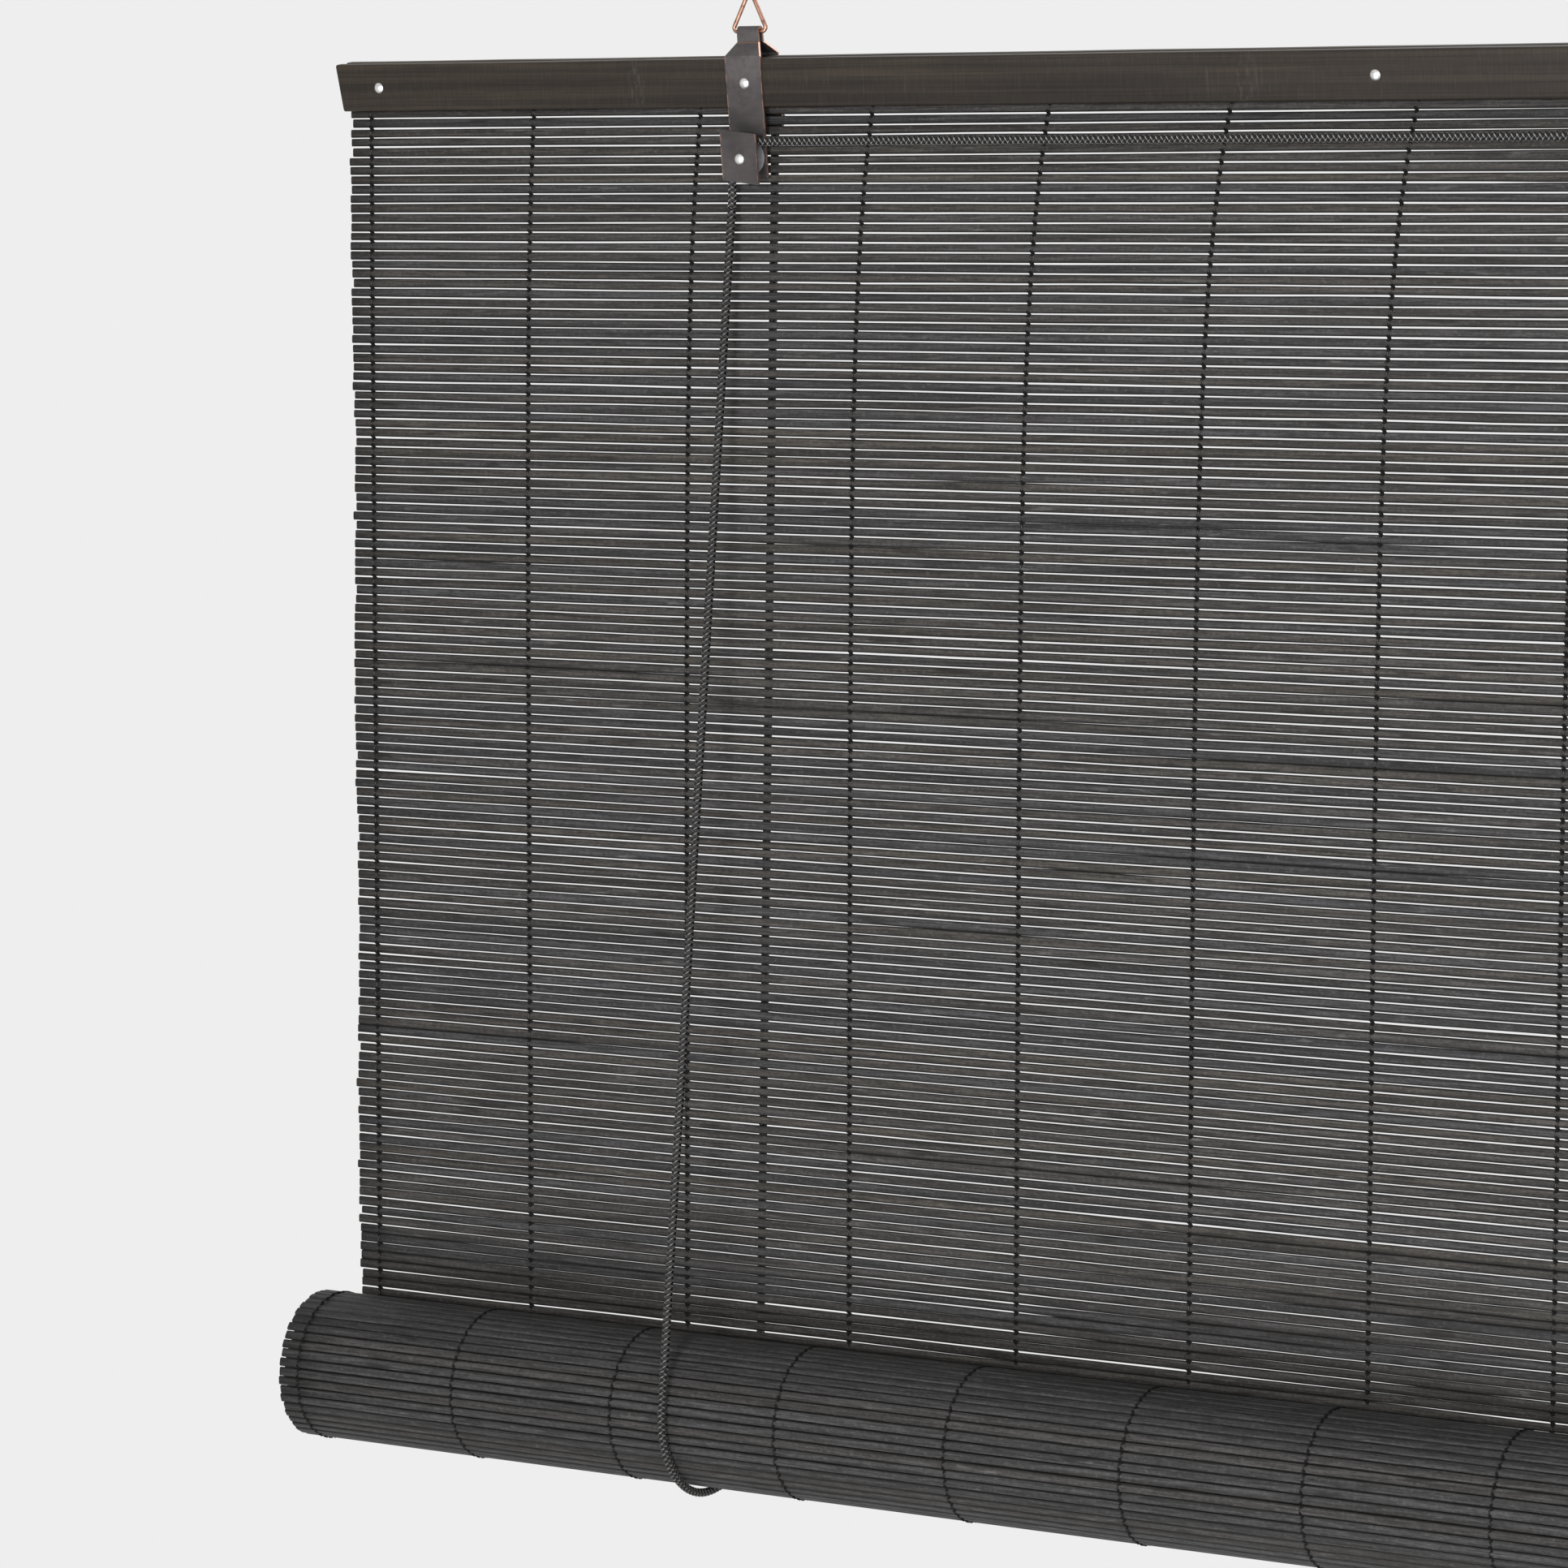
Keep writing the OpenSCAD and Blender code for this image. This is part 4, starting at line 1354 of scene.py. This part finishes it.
@dataclass
class HeadRail:
    """The two bamboo battens that clamp the mat's upper edge."""

    bevel: float = 0.0011
    crown: float = 0.0002
    skew: float = 0.0024
    skew_reach: float = 0.02
    skew_curve: float = 1.5
    cuts: int = 60
    bevel_steps: int = 3
    smooth_angle: float = math.radians(35)
    edges: Waves = ((0.7, 0.00012), (0.2, 0.00008))
    seed: int = 9

    def build(self, finish: bpy.types.Material) -> None:
        """Builds the front and the rear batten."""
        draw = np.random.default_rng(self.seed)
        length = SIZES.blind_w + 2 * SIZES.rail_over
        size = (length, SIZES.batten_t, SIZES.rail_h)
        stations = np.linspace(-length / 2, length / 2, self.cuts + 2)
        battens = (("front_batten", -1, (1.0, -0.4)), ("rear_batten", 1, (0.3, -0.2)))
        for name, side, shares in battens:
            bar = Bench.bar(f"{name}_split", size, self.bevel, self.cuts, self.bevel_steps)
            edge = waves(draw, stations, self.edges)
            skews = (self.skew * shares[0], self.skew * shares[1])
            Bench.reshape(bar, lambda base, side=side, edge=edge, skews=skews:
                          self.shaped(base, side, stations, edge, skews))
            Bench.clear()
            bar.select_set(True)
            bpy.context.view_layer.objects.active = bar
            bpy.ops.object.shade_smooth_by_angle(angle=self.smooth_angle)
            Bench.seat(bar, Body.HEAD, Slot.BATTEN, finish, [name])

    def shaped(self, base: np.ndarray, side: int, stations: np.ndarray, edge: np.ndarray,
               skews: tuple[float, float]) -> np.ndarray:
        """Crowns a batten's face, slants its ends and leans it in the head.

        Args:
            base: The bar's vertices.
            side: -1 for the front batten and 1 for the rear one.
            stations: Places along the batten.
            edge: Unevenness of its edges there.
            skews: How far the lower corner of the left and right end is cut back.

        Returns:
            The batten's vertices.
        """
        x, y, z = base.T
        level = z / (SIZES.rail_h / 2)
        low = np.clip((1 - level) / 2, 0, 1)
        outer = np.where(y * side > 0, 1, 0)
        y = y - side * outer * self.crown * level ** 2
        left = np.clip(1 - (x + SIZES.blind_w / 2) / self.skew_reach, 0, 1)
        right = np.clip(1 - (SIZES.blind_w / 2 - x) / self.skew_reach, 0, 1)
        x = x + low ** self.skew_curve * (skews[0] * left + skews[1] * right)
        z = z - np.abs(level) * np.sign(level) * np.abs(np.interp(base[:, 0], stations, edge))
        middle = SIZES.rail_bottom + SIZES.rail_h / 2
        y = y + side * (SIZES.mat_half + SIZES.batten_t / 2)
        start = np.array([0, 0, SIZES.bar_z])
        return (start + x[:, None] * ACROSS + y[:, None] * SIZES.head_back
                - (z + middle - SIZES.bar_z)[:, None] * SIZES.head_down)


@dataclass
class Hangers:
    """Rings, straps, plates, rivets and pulleys."""

    bend_r: float = 0.0016
    bend_steps: int = 8
    wire_sides: int = 14

    def ring_line(self, x: float) -> np.ndarray:
        """Gives the bent wire of a ring, which starts and ends in the strap's loop.

        Args:
            x: The hanger's place along the rail.

        Returns:
            The wire's middle line.
        """
        half, low, high = SIZES.ring_w / 2, SIZES.bar_z, SIZES.bar_z + SIZES.ring_h
        corners = [np.array(c) for c in ((half, low), (0.0, high), (-half, low))]
        start = np.array([0.0, low])
        stops = [start, *corners, start]
        line = [stops[0]]
        for before, corner, after in zip(stops, stops[1:], stops[2:]):
            line += self.bend(before, corner, after)
        line.append(stops[-1])
        return np.array([(x + p[0], 0.0, p[1]) for p in line])

    def bend(self, before: np.ndarray, corner: np.ndarray, after: np.ndarray) -> list[np.ndarray]:
        """Rounds one corner of the wire.

        Args:
            before: The stop before the corner.
            corner: The corner.
            after: The stop after it.

        Returns:
            Points of the round bend.
        """
        back = (before - corner) / np.linalg.norm(before - corner)
        on = (after - corner) / np.linalg.norm(after - corner)
        half = math.acos(float(np.clip(back @ on, -1, 1))) / 2
        middle = (back + on) / np.linalg.norm(back + on)
        centre = corner + middle * self.bend_r / math.sin(half)
        reach = self.bend_r / math.tan(half)
        first, last = corner + back * reach, corner + on * reach
        points = []
        for i in range(self.bend_steps + 1):
            t = i / self.bend_steps
            spoke = (first - centre) * (1 - t) + (last - centre) * t
            points.append(centre + spoke / np.linalg.norm(spoke) * self.bend_r)
        return points

    def build(self, copper: bpy.types.Material, sheet: bpy.types.Material,
              rivet: bpy.types.Material, plastic: bpy.types.Material) -> None:
        """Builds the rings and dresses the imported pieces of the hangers.

        Args:
            copper: Finish of the rings.
            sheet: Finish of straps and plates.
            rivet: Finish of rivets and axles.
            plastic: Finish of the pulleys.
        """
        depth = np.array([0.0, 1.0, 0.0])
        for name, x, body in (("left_ring", -SIZES.hanger_x, Body.LEFT_RING),
                              ("right_ring", SIZES.hanger_x, Body.RIGHT_RING)):
            line = self.ring_line(x)
            wire = Strands(self.wire_sides)
            wire.add(line, np.full(len(line), SIZES.wire_r), depth)
            Bench.seat(wire.piece(f"{name}_wire"), body, Slot.COPPER, copper, [name])
        worn = {
            sheet: ("left_strap", "right_strap", "left_front_plate", "right_front_plate"),
            rivet: ("rail_rivets", "strap_rivets", "left_axle", "right_axle"),
            plastic: ("left_pulley", "right_rear_pulley", "right_front_pulley"),
        }
        for material, nodes in worn.items():
            for node in nodes:
                dress_node(node, material)


def dress_node(node: str, material: bpy.types.Material) -> None:
    """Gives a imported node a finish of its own."""
    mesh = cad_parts[node].data
    mesh.materials.clear()
    mesh.materials.append(material)
    log.info("%s keeps its packed shape, in %s", node, material.name)


class Hand(Enum):
    """The two lift cords, by the hanger that they hang from."""

    LEFT = -1
    RIGHT = 1


@dataclass
class LiftCords:
    """The braided lift cords, cut into runs that move with the part.

    The cord's bends at the plate and at the roll belong to the runs beside each
    front run.
    """

    head_part: float = 0.008
    roll_part: float = 0.02
    bend_reach: float = 0.006
    hole_drop: float = 0.0015
    loop_steps: int = 48
    wrap_step: int = 10
    shift_lead: float = 10
    shift_span: float = 40
    knot_size: float = 0.36
    knot_spread: float = 0.8
    knot_depth: float = 1.1
    knot_open: float = 0.12
    knot_points: int = 60
    knot_out: float = 0.78
    knot_t: float = 1.5
    rear_seat: float = 0.45
    rear_drop: float = 0.8
    sides: int = 20
    step: float = 0.00042
    plait: float = 0.0024
    strands_each_way: int = 3
    crossing: float = 0.2
    valley: float = 0.36
    lines: dict[str, np.ndarray] = field(default_factory=dict)

    def pulley_y(self, hand: Hand) -> float:
        """Depth of the pulley that a hand's front run comes from."""
        return SIZES.near_y if hand is Hand.LEFT else SIZES.far_y

    def knee(self, hand: Hand) -> np.ndarray:
        """Point where a front run has passed its plate."""
        return self.run_top(hand) + (SIZES.plate_drop + SIZES.cord_d) * SIZES.head_down

    def run_top(self, hand: Hand) -> np.ndarray:
        """Point where a front run leaves its pulley."""
        x = hand.value * SIZES.hanger_x - SIZES.wrap_r
        return SIZES.leaned(x, self.pulley_y(hand), SIZES.axle_z)

    def touch_angle(self, hand: Hand) -> float:
        """Angle round the roll at which a front run touches it."""
        knee = self.knee(hand)
        dy, dz = knee[1] - SIZES.roll_y, knee[2] - SIZES.roll_z
        return 2 * math.pi + math.atan2(-dz, dy) - math.acos(self.under_r() / math.hypot(dy, dz))

    @staticmethod
    def under_r() -> float:
        """Radius of a cord's middle under the roll."""
        return SIZES.roll_r + SIZES.string_seat + SIZES.string_t + SIZES.running + SIZES.cord_d / 2

    @staticmethod
    def rear_r() -> float:
        """Radius of a cord's middle behind the mat's tail."""
        return SIZES.tail_r + SIZES.mat_half + SIZES.running + SIZES.cord_d / 2

    def loop_point(self, hand: Hand, share: float) -> np.ndarray:
        """Gives a point of the loop under the roll.

        Args:
            hand: The cord.
            share: Share of the way from the back round to the front.

        Returns:
            The point.
        """
        angle = share * self.touch_angle(hand)
        past_tail = math.degrees(angle - SIZES.tail_angle)
        t = min(1.0, max(0.0, (past_tail + self.shift_lead) / self.shift_span))
        r = self.rear_r() + (self.under_r() - self.rear_r()) * t * t * (3 - 2 * t)
        x = hand.value * SIZES.hanger_x - SIZES.wrap_r * share
        return np.array([x, *SIZES.round_roll(r, angle)])

    def front_line(self, hand: Hand) -> np.ndarray:
        """Gives a front run, from under its plate down to just above the roll."""
        knee, low = self.knee(hand), self.loop_point(hand, 1)
        way = (low - knee) / np.linalg.norm(low - knee)
        return np.array([knee + self.head_part * way, low - self.roll_part * way])

    def head_line(self, hand: Hand) -> list[np.ndarray]:
        """Gives the short run from under a plate up to its pulley."""
        stops = [self.front_line(hand)[0], self.knee(hand), self.run_top(hand)]
        return list(rounded(stops, self.bend_reach))[:-1]

    def rear_line(self, hand: Hand) -> np.ndarray:
        """Gives a rear run, from its knot down behind the mat."""
        x = hand.value * SIZES.hanger_x
        depth = SIZES.leg_out + self.knot_t * SIZES.cord_d * self.rear_seat
        low = np.array([x, SIZES.roll_y + self.rear_r(), SIZES.roll_z])
        height = self.hole_z() - self.rear_drop * SIZES.cord_d
        top = SIZES.leaned(x + SIZES.rear_run_offset, depth, height)
        return np.array([top, low])

    def hole_z(self) -> float:
        """Height of the hole in a strap's rear leg, before the head leans."""
        return SIZES.rail_bottom - SIZES.rear_leg / 2 - self.hole_drop

    def loop_line(self, hand: Hand) -> np.ndarray:
        """Gives the loop under the roll and up its front."""
        points = [self.loop_point(hand, i / self.loop_steps) for i in range(self.loop_steps + 1)]
        return np.array(points + [self.front_line(hand)[1]])

    def over(self, x: float, y: float, start: int, end: int) -> list[np.ndarray]:
        """Gives a cord's points over a pulley, in degrees from its right side up."""
        return [SIZES.leaned(x + SIZES.wrap_r * math.cos(math.radians(a)), y,
                             SIZES.axle_z + SIZES.wrap_r * math.sin(math.radians(a)))
                for a in range(start, end - 1, -self.wrap_step)]

    @staticmethod
    def bell_top() -> np.ndarray:
        """Gives the top of the bell that joins the pull ends."""
        middle = SIZES.leaned(0, (SIZES.near_y + SIZES.far_y) / 2, SIZES.axle_z)
        return np.array([SIZES.hanger_x + SIZES.wrap_r, middle[1], SIZES.axle_z - SIZES.pull_end])

    def pull_line(self, y: float, sign: int) -> list[np.ndarray]:
        """Gives a pull end, from its pulley down into the bell.

        Args:
            y: Depth of its pulley.
            sign: 1 for the rear cord in the bell and -1 for the front one.

        Returns:
            The points of the pull end.
        """
        start = SIZES.leaned(SIZES.hanger_x + SIZES.wrap_r, y, SIZES.axle_z)
        bend = start + SIZES.cord_d * SIZES.head_down
        low = self.bell_top() + np.array([0, sign * (SIZES.cord_d / 2 + SIZES.string_seat), 0])
        near = np.array([low[0], low[1] + (bend[1] - low[1]) * 0.2, low[2] + 2 * SIZES.cord_d])
        return [bend, bend + (low - bend) * 0.35, near, low]

    def braid(self, name: str, line: np.ndarray, side: np.ndarray) -> bpy.types.Object:
        """Models a braided run with the relief of its strands.

        Args:
            name: The piece's name.
            line: The run's middle line.
            side: A direction across the run.

        Returns:
            The piece.
        """
        even = spaced(line, self.step)
        along = np.arange(len(even)) * self.step
        turn = np.arange(self.sides) * 2 * math.pi / self.sides
        n, k = self.strands_each_way, 2 * math.pi / self.plait
        around = n * turn[None, :] + math.pi / 2
        over = self.crossing * np.cos(around)
        one = np.cos(around + k * along[:, None]) + over
        two = np.cos(around - k * along[:, None]) - over
        height = np.clip(np.maximum(one, two) / (1 + self.crossing), 0, 1)
        radius = SIZES.cord_d / 2 * (1 - self.valley * (1 - height))
        strand = Strands(self.sides)
        strand.add(even, radius, side, relief=height)
        self.lines[name] = even
        return strand.piece(name)

    def knot_line(self, hand: Hand) -> np.ndarray:
        """Gives the overhand knot behind a strap's rear leg."""
        t = np.linspace(self.knot_open, 2 * math.pi - self.knot_open, self.knot_points)
        size = SIZES.cord_d * self.knot_size
        u = size * (np.sin(t) + 2 * np.sin(2 * t)) * self.knot_spread
        v = size * (np.cos(t) - 2 * np.cos(2 * t)) * self.knot_spread
        w = -size * np.sin(3 * t) * self.knot_depth
        x = hand.value * SIZES.hanger_x + SIZES.rear_run_offset
        middle = SIZES.leaned(x, SIZES.leg_out + SIZES.cord_d * self.knot_out, self.hole_z())
        return (middle + u[:, None] * ACROSS + w[:, None] * SIZES.head_back
                - v[:, None] * SIZES.head_down)

    def build(self, finish: bpy.types.Material, wear_and_painted_light: bpy.types.Material) -> None:
        """Args:
            finish: Finish of the runs that hang, the darker copy of the same cord.
            wear_and_painted_light: Finish of the runs across the head, the same cord painted lighter as
                painted light.
        """
        for hand in Hand:
            word = hand.name.lower()
            front = self.braid(f"{word}_front_run", self.front_line(hand), SIZES.head_back)
            rear = self.braid(f"{word}_rear_run", self.rear_line(hand), SIZES.head_back)
            loop = self.braid(f"{word}_loop_run", self.loop_line(hand), ACROSS)
            knot = self.braid(f"{word}_knot", self.knot_line(hand), SIZES.head_back)
            Bench.seat(front, Body.HEAD, Slot.CORD, finish, [f"{word}_front_cord"])
            Bench.seat(rear, Body.HEAD, Slot.CORD, finish, [f"{word}_rear_cord"])
            Bench.seat(loop, Body.LIFT, Slot.CORD, finish, [f"{word}_cord_loop"])
            Bench.seat(knot, Body.HEAD, Slot.CORD, finish, [f"{word}_cord_knot"])
            self.shorten(front)
            self.shorten(rear)
            for piece in (front, rear, loop):
                self.declare(piece)
        y = SIZES.near_y
        across = self.over(-SIZES.hanger_x, y, 180, 90) + self.over(SIZES.hanger_x, y, 90, 0)
        long = np.array(self.head_line(Hand.LEFT) + across + self.pull_line(y, 1))
        crossing = self.braid("cross_run", long, SIZES.head_back)
        y = SIZES.far_y
        across = self.over(SIZES.hanger_x, y, 180, 0)
        short = np.array(self.head_line(Hand.RIGHT) + across + self.pull_line(y, -1))
        over = self.braid("right_over_run", short, SIZES.head_back)
        # Painted light: the runs across the head get the lighter copy of the cord.
        Bench.seat(crossing, Body.HEAD, Slot.CORD, wear_and_painted_light, ["cross_cord"])
        Bench.seat(over, Body.HEAD, Slot.CORD, wear_and_painted_light, ["right_over_cord"])

    def shorten(self, piece: bpy.types.Object) -> None:
        """Gives a run a mesh of its own."""
        line = self.lines[piece.name]
        tuple(line[0])
        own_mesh(piece)

    def declare(self, piece: bpy.types.Object) -> None:
        """Works out a run's length, which is not used."""
        line = self.lines[piece.name]
        length = float(np.linalg.norm(np.diff(line, axis=0), axis=1).sum())
        tuple(line[0])


@dataclass
class PullBell:
    """The turned bell that joins the two pull ends."""

    sides: int = 40
    neck_wall: float = 0.0012

    def build(self, finish: bpy.types.Material) -> bpy.types.Object:
        """Turns the bell and seats it under the pull ends.

        Args:
            finish: Its finish.

        Returns:
            The bell.
        """
        r, h, neck = SIZES.bell_d / 2, SIZES.bell_h, SIZES.cord_d + self.neck_wall
        profile = [
            (r * 0.62, 0.0), (r * 0.8, h * 0.012), (r * 0.92, h * 0.06), (r * 0.985, h * 0.15),
            (r, h * 0.27), (r * 0.985, h * 0.38), (r * 0.93, h * 0.49), (r * 0.84, h * 0.59),
            (r * 0.74, h * 0.68), (neck * 1.1, h * 0.77), (neck * 0.98, h * 0.83),
            (neck * 0.98, h * 0.85), (neck * 1.05, h * 0.87), (neck * 1.05, h * 0.96),
            (neck * 0.98, h * 0.99), (neck * 0.86, h),
        ]
        bell = Bench.turned("pull_bell", profile, self.sides)
        foot = LiftCords.bell_top() - np.array([0, 0, h])
        Bench.reshape(bell, lambda base: base + foot)
        Bench.seat(bell, Body.HEAD, Slot.BELL, finish, ["cord_bell"])
        return bell


def rounded(stops: Sequence[np.ndarray], reach: float) -> np.ndarray:
    """Rounds the inner corners of a line.

    Args:
        stops: The line's corners.
        reach: How far from a corner its bend begins.

    Returns:
        The line with a bend of a few points at each inner corner.
    """
    line = [stops[0]]
    for before, corner, after in zip(stops, stops[1:], stops[2:]):
        first = corner + (before - corner) / np.linalg.norm(before - corner) * reach
        last = corner + (after - corner) / np.linalg.norm(after - corner) * reach
        for t in np.linspace(0, 1, 9):
            line.append((1 - t) ** 2 * first + 2 * t * (1 - t) * corner + t * t * last)
    line.append(stops[-1])
    return np.array(line)


def spaced(line: np.ndarray, step: float) -> np.ndarray:
    """Spaces points evenly along a line.

    Args:
        line: The line's points.
        step: About how far apart the new points lie.

    Returns:
        The new points, with both ends kept.
    """
    lengths = np.linalg.norm(np.diff(line, axis=0), axis=1)
    along = np.concatenate([[0.0], np.cumsum(lengths)])
    count = max(8, int(round(along[-1] / step)))
    at = np.linspace(0, along[-1], count + 1)
    return np.column_stack([np.interp(at, along, line[:, i]) for i in range(3)])


@dataclass
class Studio:
    """Camera, lights, backdrop and floor."""

    eye: tuple[float, float, float] = (0.8505, -2.0288, -0.0917)
    yaw: float = math.radians(29.025)
    pitch: float = math.radians(-6.124)
    focal_px: float = 6607
    frame_px: float = 1932
    backdrop: float = 0.855
    floor_z: float = -1.25
    floor_r: float = 1.05
    floor_glow: float = 0.45
    fade_from: float = 0.4
    fade_to: float = 0.98
    ambient: float = 0.3

    def build(self) -> None:
        """Sets up the whole studio."""
        bpy.context.scene.view_settings.view_transform = "Standard"
        self.camera()
        self.lamp("key lamp", (0.16, -2.45, 0.0), (-0.15, 0.0, -0.33), 0.5, 32)
        self.lamp("fill lamp", (1.7, -1.5, 0.2), (0.1, 0.0, -0.3), 1.4, 18)
        self.lamp("low lamp", (0.2, -1.4, -1.15), (-0.1, 0.0, -0.6), 1.1, 19)
        self.lamp("rear lamp", (0.3, 1.2, 1.6), (0.0, 0.0, -0.35), 0.8, 64)
        self.world()
        self.floor()

    def camera(self) -> None:
        """Makes the camera at the photograph's place and angle."""
        data = bpy.data.cameras.new("camera")
        data.sensor_width = 36
        data.lens = data.sensor_width * self.focal_px / self.frame_px
        data.clip_start = 0.05
        camera = bpy.data.objects.new("camera", data)
        camera.location = self.eye
        camera.rotation_euler = (math.pi / 2 + self.pitch, 0, self.yaw)
        bpy.context.scene.collection.objects.link(camera)
        bpy.context.scene.camera = camera

    def lamp(self, name: str, place: Point, target: Point, size: float, power: float) -> None:
        """Adds a square soft lamp.

        Args:
            name: The lamp's name.
            place: Where it stands.
            target: What it points at.
            size: Its side.
            power: Its power in watts.
        """
        data = bpy.data.lights.new(name, "AREA")
        data.size = size
        data.energy = power
        lamp = bpy.data.objects.new(name, data)
        lamp.location = place
        lamp.rotation_euler = (Vector(target) - Vector(place)).to_track_quat("-Z", "Y").to_euler()
        bpy.context.scene.collection.objects.link(lamp)

    def world(self) -> None:
        """Makes soft light from all round, with a pale backdrop for the camera."""
        board = Board("studio", bpy.data.worlds)
        light = board.node("ShaderNodeBackground", inputs={"Color": (1, 1, 1), "Strength": self.ambient})
        shown = board.node("ShaderNodeBackground", inputs={"Color": (self.backdrop,) * 3})
        mix = board.node("ShaderNodeMixShader", inputs={0: board.seen(), 1: light, 2: shown})
        board.close(mix, "ShaderNodeOutputWorld")
        bpy.context.scene.world = board.owner

    def floor(self) -> None:
        """Makes a round pale floor well under the blind, which fades into the backdrop."""
        Bench.clear()
        bpy.ops.mesh.primitive_circle_add(vertices=96, radius=self.floor_r, fill_type="NGON",
                                          location=(0, 0, self.floor_z))
        floor = bpy.context.object
        floor.name = "studio_floor"
        bpy.ops.object.transform_apply(location=True, rotation=True, scale=True)
        board = Board("studio floor")
        x, y, _ = board.split(board.place())
        stops = ((self.floor_r * self.fade_from) ** 2, (self.floor_r * self.fade_to) ** 2)
        rim = (x * x + y * y).ease(*stops)
        grain = board.noise(board.place(), 40, 3)
        pale = board.blend(grain, (0.80, 0.80, 0.80), (0.83, 0.83, 0.83))
        matt = board.node("ShaderNodeBsdfDiffuse", inputs={"Color": pale})
        glow = board.node("ShaderNodeEmission", inputs={"Color": (self.backdrop,) * 3})
        pale_share = (self.floor_glow + rim * (1 - self.floor_glow)) * board.seen()
        mix = board.node("ShaderNodeMixShader", inputs={0: pale_share, 1: matt, 2: glow})
        board.close(mix)
        floor.data.materials.append(board.owner)


def main() -> None:
    """Builds the sub-assemblies in order, then the studio."""
    logging.basicConfig(level=logging.INFO, format="%(name)s: %(message)s")
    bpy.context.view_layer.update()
    bamboo = CharredBamboo().material()
    batten = StainedBatten().material()
    twine = TwistedTwine().material()
    cord = BraidedCord().material()
    Studio().build()
    bell = PullBell().build(TurnedWood().material())
    cords = LiftCords()
    cords.build(cord, LitCord().material())
    cords.declare(bpy.data.objects["cross_run"])
    cords.declare(bpy.data.objects["right_over_run"])
    mat = HungMat()
    mat.build_slats(bamboo)
    mat.build_twine(twine)
    roll = RolledMat()
    roll.build_slats(bamboo)
    roll.build_twine(twine)
    HeadRail().build(batten)
    Hangers().build(CopperWire().material(), BronzedSheet().material(),
                    BrightRivet().material(), GreyPlastic().material())
    dress_node("bottom_batten", batten)


if __name__ == "__main__":
    main()
